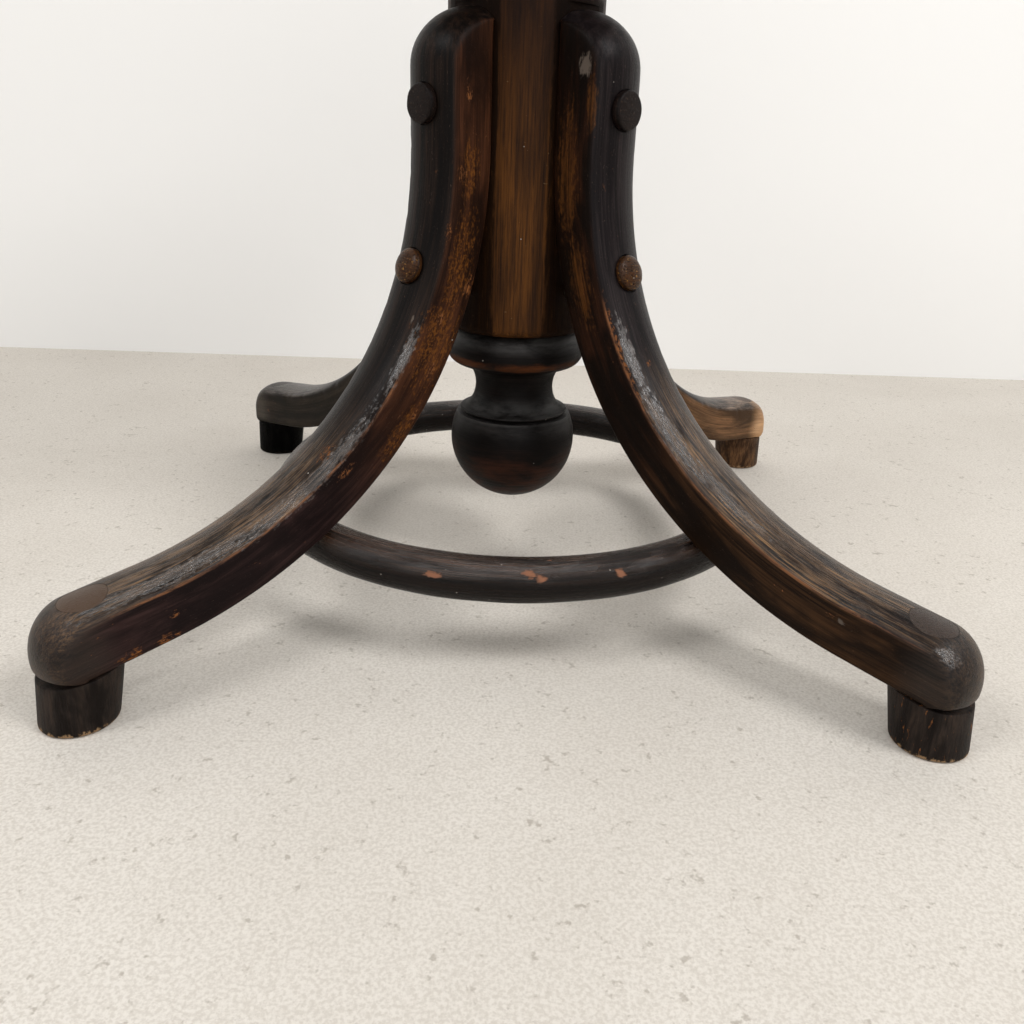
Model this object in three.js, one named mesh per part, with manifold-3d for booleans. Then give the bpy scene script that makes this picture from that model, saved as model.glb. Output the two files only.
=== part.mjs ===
// Revolving piano stool: a bentwood base with a turned post, and a round seat that rises on a screw.
// Millimetres, +Z up. The origin is on the floor, under the middle of the post. The front is -Y.
import * as THREE from 'three';
import { mergeVertices } from 'three/addons/utils/BufferGeometryUtils.js';
import Module from 'manifold-3d';

const wasm = await Module();
wasm.setup();

// Fits that every piece shares
const GAP = 0.3; // left between two pieces that touch
const OVERRUN = 2; // how far a cutter runs past the face that it opens

// Post: plain and round where the legs sit, with a turned capital above them
const POST_R = 38.7;
const POST_BELOW_LEG_TOPS = 146;
const POST_ABOVE_LEG_TOPS = 105;
const POST_FOOT_ROUND = 4.5;
const HOUSING_DEPTH = 1.8;
const HOUSING_ABOVE_CROWN = 2.5;
const HOUSING_END_ABOVE_FOOT = 15;
const HOUSING_CUTTER_R = 40;
const SPINDLE_BORE_R = 15.5;
const BORE_BELOW_TAIL = 6;
const QUIRK_ABOVE_LEG_TOPS = 30;
const QUIRK_DEPTH = 2.6;
const QUIRK_HEIGHT = 4;
const BEAD_HEIGHT = 9;
const BEAD_PROUD = 2.6;
const CAPITAL_R = 43;
const CAPITAL_EDGE = 14;
const CAPITAL_ROUND = 3.5;

// Legs, measured on the flat back: straight, two bends one after the other, then a straight tail
// over the foot
const LEG_WIDTH = 33;
const LEG_SIDE_DEPTH = 23.6;
const LEG_CROWN = 5.3;
const LEG_STRAIGHT = 55;
const UPPER_BEND_R = 194.5;
const UPPER_BEND_DEG = 50;
const LOWER_BEND_R = 221.5;
const LOWER_BEND_DEG = 32;
const LEG_TAIL = 35;
const NOSE_PAST_FOOT_AXIS = 12;
const LEG_TOP_ROUND = 20;
const LEG_TOP_CROWN = 6.5;
const NOSE_ROUND = 17;
const NOSE_CROWN = 5.8;
const NOSE_UNDER_RISE = 5;
const NOSE_UNDER_LENGTH = 9;

// Feet, leaning outward toward the floor
const FOOT_HEIGHT = 25;
const FOOT_LEAN_DEG = 9;
const FOOT_R = 17.2;
const FOOT_SOLE_R = 16.1;
const DOWEL_R = 9.7;

// Ring stretcher, placed by the lean on the lower bend where it touches the backs of the legs. It is
// out of round: drawn in at its two sides, and a little full at the front and the back.
const RING_ROD_R = 10.9;
const RING_TOUCH_DEG = 60.25;
const RING_SIDE_TUCK = 9;
const RING_FRONT_BULGE = 0.5;

// Pendant finial, from the post down
const TENON_R = 12;
const TENON_LENGTH = 25;
const COLLAR_TOP_R = 31;
const COLLAR_R = 38;
const COLLAR_TOP_HEIGHT = 12.2;
const COLLAR_UNDER_HEIGHT = 7.7;
const COLLAR_UNDER_R = 30.5;
const NECK_R = 21.9;
const NECK_HEIGHT = 25;
const DISC_R = 30.2;
const DISC_HEIGHT = 3;
const GROOVE_R = 28.5;
const BALL_R = 35.4;
const BALL_TOP_DEG = 25;

// Leg screws, their counterbores and the buttons over them
const UPPER_SCREW_BELOW_TOP = 36.5;
const LOWER_SCREW_DEG = 19;
const LEG_SCREW_R = 3;
const LEG_SCREW_HEAD_R = 5.6;
const LEG_SCREW_HEAD_HEIGHT = 3.2;
const LEG_SCREW_HEAD_DEPTH = 7.5;
const LEG_SCREW_BITE = 16;
const SPOT_FACE_DEPTH = 1;
const BUTTON_R = 9;
const BUTTON_PROUD = 3.5;
const BUTTON_DOME_R = 8.6;
const BUTTON_DOME_PROUD = 4.4;
const BUTTON_STEM_R = 6.2;
const BUTTON_STEM_LENGTH = 5.4;

// Small screws: ring to legs, nut to post, plate to battens, battens to rim
const SMALL_SCREW_R = 2.2;
const SMALL_HEAD_R = 4.4;
const SMALL_HEAD_HEIGHT = 2.6;
const RING_SCREW_BITE = 15;
const RING_SCREW_HEAD_SUNK = 2;
const NUT_SCREW_BITE = 20;
const PLATE_SCREW_BITE = 14;
const RIM_SCREW_BITE = 12;

// Nut in the top of the post
const NUT_FLANGE_R = 34;
const NUT_FLANGE_HEIGHT = 5;
const NUT_BARREL_R = 20;
const NUT_BARREL_LENGTH = 33;
const NUT_SCREW_CIRCLE_R = 27.5;

// Spindle, at the crest of its thread: a collar above and a tail below
const THREAD_LEAD = 8;
const LIFT_TURNS = 14;
const SPINDLE_R = 12;
const SPINDLE_CLEARANCE = 0.5;
const SPINDLE_COLLAR_R = 16;
const SPINDLE_COLLAR_HEIGHT = 6.4;
const RIVET_R = 8;
const RIVET_PROUD = 3;
const TAIL_R = 7;
const TAIL_LENGTH = 14;
const STOP_WASHER_R = 14.6;
const STOP_WASHER_HEIGHT = 3;
const STOP_PIN_R = 2;
const STOP_PIN_LENGTH = 24;

// Seat plate, battens, rim and panel
const PLATE_R = 56;
const PLATE_HEIGHT = 5;
const PLATE_SCREW_CIRCLE_R = 44;
const BATTEN_HEIGHT = 22;
const BATTEN_WIDTH = 42;
const BATTEN_END_WIDTH = 30;
const RIVET_HOLE_R = 11;
const SEAT_R = 170;
const RIM_WIDTH = 34;
const RIM_HEIGHT = 26;
const RIM_ROUND = 7;
const PANEL_SEAT_WIDTH = 14;
const PANEL_THICKNESS = 5;
const PANEL_DISH = 4;
const PANEL_FLAT_R = 60;

// Facets round a turn, and steps along an arc
const POST_SEGMENTS = 24;
const FINIAL_SEGMENTS = 20;
const RING_SEGMENTS = 40;
const SEAT_SEGMENTS = 36;
const FOOT_SEGMENTS = 16;
const NUT_SEGMENTS = 20;
const BORE_SEGMENTS = 16;
const HOLE_SEGMENTS = 12;
const BUTTON_SEGMENTS = 12;
const SMALL_HOLE_SEGMENTS = 10;
const SCREW_SEGMENTS = 8;
const ROD_SIDES = 10;
const CROWN_STEPS = 6;

const rad = THREE.MathUtils.degToRad;
const CORNERS = [
  { place: 'front_left', azimuth: 225 },
  { place: 'front_right', azimuth: 315 },
  { place: 'back_right', azimuth: 45 },
  { place: 'back_left', azimuth: 135 },
];
const SIDES = [
  { place: 'right', azimuth: 0 },
  { place: 'back', azimuth: 90 },
  { place: 'left', azimuth: 180 },
  { place: 'front', azimuth: 270 },
];

const stain = (color, roughness) => new THREE.MeshStandardMaterial({ color, roughness, metalness: 0 });
const metal = (color, roughness) => new THREE.MeshStandardMaterial({ color, roughness, metalness: 1 });
const POST_STAIN = stain('#4a2f1c', 0.5);
const LEG_STAIN = stain('#2e2420', 0.45);
const FOOT_STAIN = stain('#241c18', 0.65);
const RING_STAIN = stain('#1d1a19', 0.5);
const FINIAL_STAIN = stain('#231b18', 0.5);
const BUTTON_STAIN = stain('#4d3324', 0.5);
const SEAT_STAIN = stain('#3a261b', 0.4);
const BARE_WOOD = stain('#8a6a48', 0.7);
const IRON = metal('#3b3a39', 0.55);
const STEEL = metal('#8d8a86', 0.35);

// Shape helpers

/** Points on an ellipse arc in the (r, z) plane; 0 degrees is outward and 90 is up. */
function arc(centreR, centreZ, semiR, semiZ, fromDeg, toDeg, steps) {
  return Array.from({ length: steps + 1 }, (_, i) => {
    const a = rad(fromDeg + ((toDeg - fromDeg) * i) / steps);
    return [centreR + semiR * Math.cos(a), centreZ + semiZ * Math.sin(a)];
  });
}

/** A solid of revolution about Z from an (r, z) outline that runs upward from the axis and back to it. */
function turned(outline, segments) {
  const points = outline.map(([r, z]) => new THREE.Vector2(r, z));
  return new THREE.LatheGeometry(points, segments).rotateX(rad(90));
}

/** A ring of revolution about Z from a closed (r, z) outline that stays off the axis. */
function turnedRing(outline, segments) {
  return turned([...outline, outline[0]], segments);
}

/** A cylinder about Z between two heights. */
function rod(radius, bottomZ, topZ, segments = HOLE_SEGMENTS) {
  return turned([[0, bottomZ], [radius, bottomZ], [radius, topZ], [0, topZ]], segments);
}

/** Turns a shape made about Z so that its Z points along a direction, and moves its origin to a point. */
function aimed(geometry, direction, point) {
  const up = new THREE.Vector3(0, 0, 1);
  const turn = new THREE.Quaternion().setFromUnitVectors(up, direction.clone().normalize());
  return geometry.applyQuaternion(turn).translate(point.x, point.y, point.z);
}

/** A copy of a shape turned about Z. */
function spun(geometry, degrees) {
  return geometry.clone().rotateZ(rad(degrees));
}

/** The closed solid of a geometry, ready for joins and cuts. */
function solid(geometry) {
  const plain = geometry.clone();
  plain.deleteAttribute('normal');
  plain.deleteAttribute('uv');
  const merged = mergeVertices(plain);
  const { array } = merged.index;
  const triVerts = [];
  for (let i = 0; i < array.length; i += 3) {
    const [a, b, c] = [array[i], array[i + 1], array[i + 2]];
    if (a !== b && b !== c && c !== a) triVerts.push(a, b, c);
  }
  const vertProperties = new Float32Array(merged.attributes.position.array);
  return new wasm.Manifold(
    new wasm.Mesh({ numProp: 3, vertProperties, triVerts: new Uint32Array(triVerts) }),
  );
}

/** The geometry of a joined or cut solid. */
function geometryOf(body) {
  const { vertProperties, triVerts } = body.getMesh();
  const geometry = new THREE.BufferGeometry();
  geometry.setAttribute('position', new THREE.BufferAttribute(new Float32Array(vertProperties), 3));
  geometry.setIndex(new THREE.BufferAttribute(new Uint32Array(triVerts), 1));
  geometry.computeVertexNormals();
  return geometry;
}

/** Cuts a list of geometries out of a body. */
function cutAll(body, cutters) {
  return cutters.reduce((left, cutter) => left.subtract(solid(cutter)), body);
}

/** A named mesh of a geometry or a solid. */
function mesh(name, shape, material) {
  const geometry = shape.isBufferGeometry ? shape : geometryOf(shape);
  const made = new THREE.Mesh(geometry, material.clone());
  made.name = name;
  return made;
}

/** A countersunk screw about Z, with its head's face at z = 0 and its shank pointing down. */
function screw(headR, headHeight, shankR, length) {
  return turned([
    [0, -length],
    [shankR, -length + 2 * shankR],
    [shankR, -headHeight],
    [headR, 0],
    [0, 0],
  ], SCREW_SEGMENTS);
}

/** The hole for a countersunk screw, open above its head. */
function screwHole(headR, headHeight, shankR, length, openHeight) {
  return turned([
    [0, -length - GAP],
    [shankR + GAP, -length - GAP],
    [shankR + GAP, -headHeight - GAP],
    [headR + GAP, 0],
    [headR + GAP, openHeight],
    [0, openHeight],
  ], SMALL_HOLE_SEGMENTS);
}

const smallScrew = (length) => screw(SMALL_HEAD_R, SMALL_HEAD_HEIGHT, SMALL_SCREW_R, length);
const smallScrewHole = (length, openHeight = OVERRUN) =>
  screwHole(SMALL_HEAD_R, SMALL_HEAD_HEIGHT, SMALL_SCREW_R, length, openHeight);

// Leg route

const HOUSING_R = POST_R - HOUSING_DEPTH;
const LEG_BACK_R = HOUSING_R + GAP;
const LEG_DEPTH = LEG_SIDE_DEPTH + LEG_CROWN;
const LEG_END_DEG = UPPER_BEND_DEG + LOWER_BEND_DEG;

/** A direction in the (r, z) plane that leans a number of degrees from straight down toward outward. */
const along = (deg) => [Math.sin(rad(deg)), -Math.cos(rad(deg))];
/** The outward normal of the leg where it leans that much. */
const outward = (deg) => [Math.cos(rad(deg)), Math.sin(rad(deg))];

/** Where the leg's back is at a lean in one of its bends, measured down from the leg's top. */
function backBelowTop(deg) {
  const upper = Math.min(deg, UPPER_BEND_DEG);
  const lower = Math.max(deg - UPPER_BEND_DEG, 0);
  const start = outward(0);
  const knee = outward(upper);
  const end = outward(upper + lower);
  return [
    LEG_BACK_R + UPPER_BEND_R * (start[0] - knee[0]) + LOWER_BEND_R * (knee[0] - end[0]),
    -LEG_STRAIGHT + UPPER_BEND_R * (start[1] - knee[1]) + LOWER_BEND_R * (knee[1] - end[1]),
  ];
}

const TAIL_DIRECTION = along(LEG_END_DEG);
const TAIL_START_BELOW_TOP = backBelowTop(LEG_END_DEG);
const FOOT_AXIS_R = TAIL_START_BELOW_TOP[0] + LEG_TAIL * TAIL_DIRECTION[0];
const LEG_TOP_Z = FOOT_HEIGHT - TAIL_START_BELOW_TOP[1] - LEG_TAIL * TAIL_DIRECTION[1];

/** Where the leg's back is at a lean in its bends, in the part's own (r, z). */
function backAt(deg) {
  const [r, drop] = backBelowTop(deg);
  return [r, LEG_TOP_Z + drop];
}

/** A point a distance outward of another, across the leg. */
function offset([r, z], deg, distance) {
  const [nr, nz] = outward(deg);
  return [r + distance * nr, z + distance * nz];
}

const inPlane = ([r, z]) => new THREE.Vector3(r, 0, z);
const NOSE_BACK = [
  FOOT_AXIS_R + NOSE_PAST_FOOT_AXIS * TAIL_DIRECTION[0],
  FOOT_HEIGHT + NOSE_PAST_FOOT_AXIS * TAIL_DIRECTION[1],
];

const BEND_STEP_DEG = 8.4;
const END_STEPS = 4;
const UNDER_STEPS = 2;

/** The leans at which the bends are drawn, from the top down. */
function bendLeans() {
  const leans = [0];
  for (const [from, turn] of [[0, UPPER_BEND_DEG], [UPPER_BEND_DEG, LOWER_BEND_DEG]]) {
    const steps = Math.ceil(turn / BEND_STEP_DEG);
    for (let i = 1; i <= steps; i += 1) leans.push(from + (turn * i) / steps);
  }
  return leans;
}

/** The leg's back, from the top of the leg to where the nose starts to round under. */
function legBack() {
  const [r, z] = NOSE_BACK;
  return [
    [LEG_BACK_R, LEG_TOP_Z],
    ...bendLeans().map(backAt),
    [r - NOSE_UNDER_LENGTH * TAIL_DIRECTION[0], z - NOSE_UNDER_LENGTH * TAIL_DIRECTION[1]],
  ];
}

/** One row of the leg's outer face: its edge, the way its crown rises, and by how much. */
function crownRow(point, normal, rise) {
  const length = Math.hypot(...normal);
  return { point, normal: normal.map((n) => n / length), rise };
}

/** A row of the nose, from coordinates along the tail and outward of the leg's back. */
function noseRow(alongTail, outOfBack, normalAlong, normalOut, rise) {
  const out = outward(LEG_END_DEG);
  const mix = (a, b) => [0, 1].map((i) => a * TAIL_DIRECTION[i] + b * out[i]);
  const shift = mix(alongTail, outOfBack);
  return crownRow([NOSE_BACK[0] + shift[0], NOSE_BACK[1] + shift[1]], mix(normalAlong, normalOut), rise);
}

/** The rows of the leg's outer face, from its rounded top to where the nose rounds under. */
function legRows() {
  const rows = [];
  for (let i = 0; i <= END_STEPS; i += 1) {
    const a = rad((90 * i) / END_STEPS);
    const [s, c] = [Math.sin(a), Math.cos(a)];
    const point = [LEG_BACK_R + LEG_SIDE_DEPTH * s, LEG_TOP_Z - LEG_TOP_ROUND * (1 - c)];
    const rise = LEG_TOP_CROWN + (LEG_CROWN - LEG_TOP_CROWN) * (i / END_STEPS);
    rows.push(crownRow(point, [s / LEG_SIDE_DEPTH, c / LEG_TOP_ROUND], rise));
  }
  for (const deg of bendLeans()) {
    rows.push(crownRow(offset(backAt(deg), deg, LEG_SIDE_DEPTH), outward(deg), LEG_CROWN));
  }
  const upperDepth = LEG_SIDE_DEPTH - NOSE_UNDER_RISE;
  for (let i = 0; i <= END_STEPS; i += 1) {
    const a = rad((90 * i) / END_STEPS);
    const [s, c] = [Math.sin(a), Math.cos(a)];
    const rise = LEG_CROWN + (NOSE_CROWN - LEG_CROWN) * (i / END_STEPS);
    rows.push(noseRow(
      -NOSE_ROUND * (1 - s),
      NOSE_UNDER_RISE + upperDepth * c,
      s / NOSE_ROUND,
      c / upperDepth,
      rise,
    ));
  }
  for (let i = 1; i <= UNDER_STEPS; i += 1) {
    const a = rad((90 * i) / UNDER_STEPS);
    const [s, c] = [Math.sin(a), Math.cos(a)];
    const rise = NOSE_CROWN * c;
    rows.push(noseRow(
      -NOSE_UNDER_LENGTH * (1 - c),
      NOSE_UNDER_RISE * (1 - s),
      1,
      0,
      i === UNDER_STEPS ? 0 : rise,
    ));
  }
  return rows;
}

/** How far the crown stands out at a share of the width, as a share of its rise. */
function crownShare(widthShare) {
  const half = LEG_WIDTH / 2;
  const radius = (half * half + LEG_CROWN * LEG_CROWN) / (2 * LEG_CROWN);
  const y = (widthShare - 0.5) * LEG_WIDTH;
  return (Math.sqrt(radius * radius - y * y) - (radius - LEG_CROWN)) / LEG_CROWN;
}

/**
 * The whole leg, pointing along +X, before its holes. Its flat sides are outlines in the (r, z) plane,
 * joined by crowned rows on the outer face and by flat strips on the back.
 */
function legBlank() {
  const rows = legRows();
  const back = legBack();
  const positions = [];
  const faces = [];
  const add = (r, y, z) => positions.push(r, y, z) / 3 - 1;
  const row = rows.map(({ point, normal, rise }) =>
    Array.from({ length: CROWN_STEPS + 1 }, (_, k) => {
      const share = k / CROWN_STEPS;
      const out = k % CROWN_STEPS === 0 ? 0 : rise * crownShare(share);
      return add(point[0] + out * normal[0], (share - 0.5) * LEG_WIDTH, point[1] + out * normal[1]);
    }));
  const last = rows.length - 1;
  const end = back.length - 1;
  const backEdge = (side) => back.map(([r, z], i) => {
    const column = side < 0 ? 0 : CROWN_STEPS;
    if (i === 0) return row[0][column];
    if (i === end) return row[last][column];
    return add(r, (side * LEG_WIDTH) / 2, z);
  });
  const [right, left] = [backEdge(-1), backEdge(1)];
  for (let j = 0; j < last; j += 1) {
    for (let k = 0; k < CROWN_STEPS; k += 1) {
      faces.push([row[j][k], row[j + 1][k], row[j + 1][k + 1]]);
      faces.push([row[j][k], row[j + 1][k + 1], row[j][k + 1]]);
    }
  }
  for (let i = 1; i < end - 1; i += 1) {
    faces.push([right[i], left[i], left[i + 1]], [right[i], left[i + 1], right[i + 1]]);
  }
  for (let k = 0; k < CROWN_STEPS; k += 1) {
    faces.push([right[1], row[0][k], row[0][k + 1]]);
    faces.push([right[end - 1], row[last][k + 1], row[last][k]]);
  }
  faces.push([right[1], row[0][CROWN_STEPS], left[1]]);
  faces.push([right[end - 1], left[end - 1], row[last][CROWN_STEPS]]);
  const side = [...back.map((p, i) => ({ p, right: right[i], left: left[i] })),
    ...rows.slice(1, last).reverse().map(({ point }, i) => ({
      p: point, right: row[last - 1 - i][0], left: row[last - 1 - i][CROWN_STEPS],
    }))];
  const contour = side.map(({ p }) => new THREE.Vector2(...p));
  for (const [a, b, c] of THREE.ShapeUtils.triangulateShape(contour, [])) {
    faces.push([side[a].right, side[b].right, side[c].right]);
    faces.push([side[a].left, side[c].left, side[b].left]);
  }
  const geometry = new THREE.BufferGeometry();
  geometry.setAttribute('position', new THREE.Float32BufferAttribute(positions, 3));
  geometry.setIndex(faces.flat());
  return geometry;
}

// Screws through a leg: where each one enters the crown, and the way it points out

const UPPER_SCREW = {
  level: 'upper',
  lean: 0,
  back: [LEG_BACK_R, LEG_TOP_Z - UPPER_SCREW_BELOW_TOP],
};
const LOWER_SCREW = { level: 'lower', lean: LOWER_SCREW_DEG, back: backAt(LOWER_SCREW_DEG) };
const LEG_SCREWS = [UPPER_SCREW, LOWER_SCREW];

/** Puts a shape made about Z on a leg screw's axis, with z = 0 on the top of the crown. */
function onLegScrew(geometry, { back, lean }) {
  return aimed(geometry, inPlane(outward(lean)), inPlane(offset(back, lean, LEG_DEPTH)));
}

/** The length of a leg screw, from its head to its tip in the post. */
function legScrewLength({ back, lean }) {
  const toHousing = (back[0] - HOUSING_R) / Math.cos(rad(lean));
  return LEG_DEPTH - LEG_SCREW_HEAD_DEPTH + toHousing + LEG_SCREW_BITE;
}

/** A leg screw, pointing along +X. */
function legScrew(place) {
  const shape = screw(LEG_SCREW_HEAD_R, LEG_SCREW_HEAD_HEIGHT, LEG_SCREW_R, legScrewLength(place));
  return onLegScrew(shape.translate(0, 0, -LEG_SCREW_HEAD_DEPTH), place);
}

/** Everything that a leg screw needs cut: its spot face, counterbore and hole. */
function legScrewCutter(place) {
  const floor = -LEG_SCREW_HEAD_DEPTH;
  const outline = [
    [0, floor - legScrewLength(place) - GAP],
    [LEG_SCREW_R + GAP, floor - legScrewLength(place) - GAP],
    [LEG_SCREW_R + GAP, floor - LEG_SCREW_HEAD_HEIGHT - GAP],
    [BUTTON_STEM_R + GAP, floor],
    [BUTTON_STEM_R + GAP, -SPOT_FACE_DEPTH],
    [BUTTON_R + GAP, -SPOT_FACE_DEPTH],
    [BUTTON_R + GAP, OVERRUN],
    [0, OVERRUN],
  ];
  return onLegScrew(turned(outline, HOLE_SEGMENTS), place);
}

/** A button over a leg screw: a flat disc above, a dome below, each on a stem. */
function button(place) {
  const seat = GAP - SPOT_FACE_DEPTH;
  const stem = [
    [0, seat - BUTTON_STEM_LENGTH],
    [BUTTON_STEM_R, seat - BUTTON_STEM_LENGTH],
    [BUTTON_STEM_R, seat],
  ];
  const edge = BUTTON_PROUD / 3;
  const flat = [[BUTTON_R, seat], ...arc(BUTTON_R - edge, BUTTON_PROUD - edge, edge, edge, 0, 90, 2)];
  const dome = [
    [BUTTON_DOME_R, seat],
    ...arc(0, BUTTON_DOME_PROUD / 3, BUTTON_DOME_R, (2 * BUTTON_DOME_PROUD) / 3, 0, 75, 3),
  ];
  const top = place.lean === 0 ? flat : dome;
  const crest = [0, place.lean === 0 ? BUTTON_PROUD : BUTTON_DOME_PROUD];
  return onLegScrew(turned([...stem, ...top, crest], BUTTON_SEGMENTS), place);
}

// Ring stretcher

const RING_CENTRE = offset(backAt(RING_TOUCH_DEG), RING_TOUCH_DEG, -RING_ROD_R - GAP);
const [RING_R, RING_Z] = RING_CENTRE;
const RING_SCREW_HEAD_OFFSET = RING_ROD_R - RING_SCREW_HEAD_SUNK;
const RING_SCREW_LENGTH = RING_SCREW_HEAD_OFFSET + RING_ROD_R + GAP + RING_SCREW_BITE;

/** Puts a shape made about Z on a ring screw's axis: z = 0 is its head, under the ring. */
function onRingScrew(geometry) {
  const inward = outward(RING_TOUCH_DEG).map((n) => -n);
  const head = offset(RING_CENTRE, RING_TOUCH_DEG, -RING_SCREW_HEAD_OFFSET);
  return aimed(geometry, inPlane(inward), inPlane(head));
}

/** How far out of round the ring is at a bearing, in radians from +X: nothing at the legs. */
function ringSway(bearing) {
  const share = Math.cos(2 * bearing);
  return (share > 0 ? -RING_SIDE_TUCK : RING_FRONT_BULGE) * share * share;
}

/** The ring, bent out of round and drilled for its screws. */
function ringStretcher() {
  const outline = arc(RING_R, RING_Z, RING_ROD_R, RING_ROD_R, 0, 360, ROD_SIDES).slice(0, -1);
  const bent = turnedRing(outline, RING_SEGMENTS);
  const { position } = bent.attributes;
  for (let i = 0; i < position.count; i += 1) {
    const [x, y] = [position.getX(i), position.getY(i)];
    const scale = 1 + ringSway(Math.atan2(y, x)) / Math.hypot(x, y);
    position.setXY(i, x * scale, y * scale);
  }
  const hole = onRingScrew(smallScrewHole(RING_SCREW_LENGTH, 2 * OVERRUN));
  return cutAll(solid(bent), CORNERS.map(({ azimuth }) => spun(hole, azimuth)));
}

// Leg and foot

/** Puts a shape made about Z on the foot's axis, with z = 0 where it meets the leg's underside. */
function onFootAxis(geometry) {
  const up = [-Math.sin(rad(FOOT_LEAN_DEG)), Math.cos(rad(FOOT_LEAN_DEG))];
  return aimed(geometry, inPlane(up), inPlane([FOOT_AXIS_R, FOOT_HEIGHT]));
}

/** The dowel of a foot, or its hole, run well past the leg. */
const footDowel = (radius) => onFootAxis(rod(radius, -FOOT_HEIGHT / 2, 2 * LEG_DEPTH));

/** A leg with its holes, pointing along +X. */
function leg(blank) {
  const ringHole = onRingScrew(smallScrewHole(RING_SCREW_LENGTH));
  return cutAll(blank, [footDowel(DOWEL_R + GAP), ringHole, ...LEG_SCREWS.map(legScrewCutter)]);
}

/** A foot, pointing along +X: a tapered block cut to the floor and the leg, on a dowel through the leg. */
function foot(blank) {
  const height = FOOT_HEIGHT + LEG_DEPTH / 2;
  const block = solid(onFootAxis(turned([
    [0, -height],
    [FOOT_SOLE_R, -height],
    [FOOT_SOLE_R, -FOOT_HEIGHT],
    [FOOT_R, 0],
    [FOOT_R, height],
    [0, height],
  ], FOOT_SEGMENTS)));
  const size = 4 * height;
  const slab = new THREE.BoxGeometry(size, size, size).translate(0, 0, size / 2);
  const floor = aimed(slab.clone(), new THREE.Vector3(0, 0, -1), inPlane([FOOT_AXIS_R, 0]));
  const under = offset([FOOT_AXIS_R, FOOT_HEIGHT], LEG_END_DEG, -GAP);
  const shoulder = cutAll(block, [floor, aimed(slab, inPlane(outward(LEG_END_DEG)), inPlane(under))]);
  const dowel = solid(footDowel(DOWEL_R));
  const aboveLeg = aimed(
    new THREE.BoxGeometry(size, size, size).translate(0, 0, size / 2),
    inPlane(outward(LEG_END_DEG)),
    inPlane(offset([FOOT_AXIS_R, FOOT_HEIGHT], LEG_END_DEG, LEG_DEPTH / 2)),
  );
  return shoulder.add(cutAll(dowel, [aboveLeg])).add(dowel.intersect(blank));
}

// Post and finial

const POST_BOTTOM_Z = LEG_TOP_Z - POST_BELOW_LEG_TOPS;
const POST_TOP_Z = LEG_TOP_Z + POST_ABOVE_LEG_TOPS;
const NUT_TOP_Z = POST_TOP_Z + GAP + NUT_FLANGE_HEIGHT;
const NUT_BOTTOM_Z = POST_TOP_Z + GAP - NUT_BARREL_LENGTH;
const LIFT = LIFT_TURNS * THREAD_LEAD;
const WASHER_TOP_Z = NUT_BOTTOM_Z - GAP - LIFT;
const THREAD_BOTTOM_Z = WASHER_TOP_Z + GAP;
const TAIL_BOTTOM_Z = THREAD_BOTTOM_Z - TAIL_LENGTH;
const STOP_PIN_Z = WASHER_TOP_Z - STOP_WASHER_HEIGHT - GAP - STOP_PIN_R;
const NUT_SCREW_LENGTH = NUT_FLANGE_HEIGHT + GAP + NUT_SCREW_BITE;

/** The flat that a leg sits on, running out in the cutter's curve near the foot of the post. */
function housingCutter() {
  const deep = 2 * HOUSING_DEPTH;
  const topZ = LEG_TOP_Z + LEG_TOP_CROWN + HOUSING_ABOVE_CROWN;
  const runOutZ = POST_BOTTOM_Z + HOUSING_END_ABOVE_FOOT;
  const runOutDeg = THREE.MathUtils.radToDeg(Math.acos(1 - deep / HOUSING_CUTTER_R));
  const cutterR = HOUSING_R + HOUSING_CUTTER_R;
  const shape = new THREE.Shape();
  const outline = [
    [HOUSING_R + deep, topZ],
    [HOUSING_R, topZ],
    ...arc(cutterR, runOutZ, HOUSING_CUTTER_R, HOUSING_CUTTER_R, 180, 180 + runOutDeg, 4),
  ];
  outline.forEach(([r, z], i) => (i ? shape.lineTo(r, -z) : shape.moveTo(r, -z)));
  const cutter = new THREE.ExtrudeGeometry(shape, { depth: LEG_WIDTH, bevelEnabled: false });
  return cutter.translate(0, 0, -LEG_WIDTH / 2).rotateX(rad(-90));
}

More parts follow.
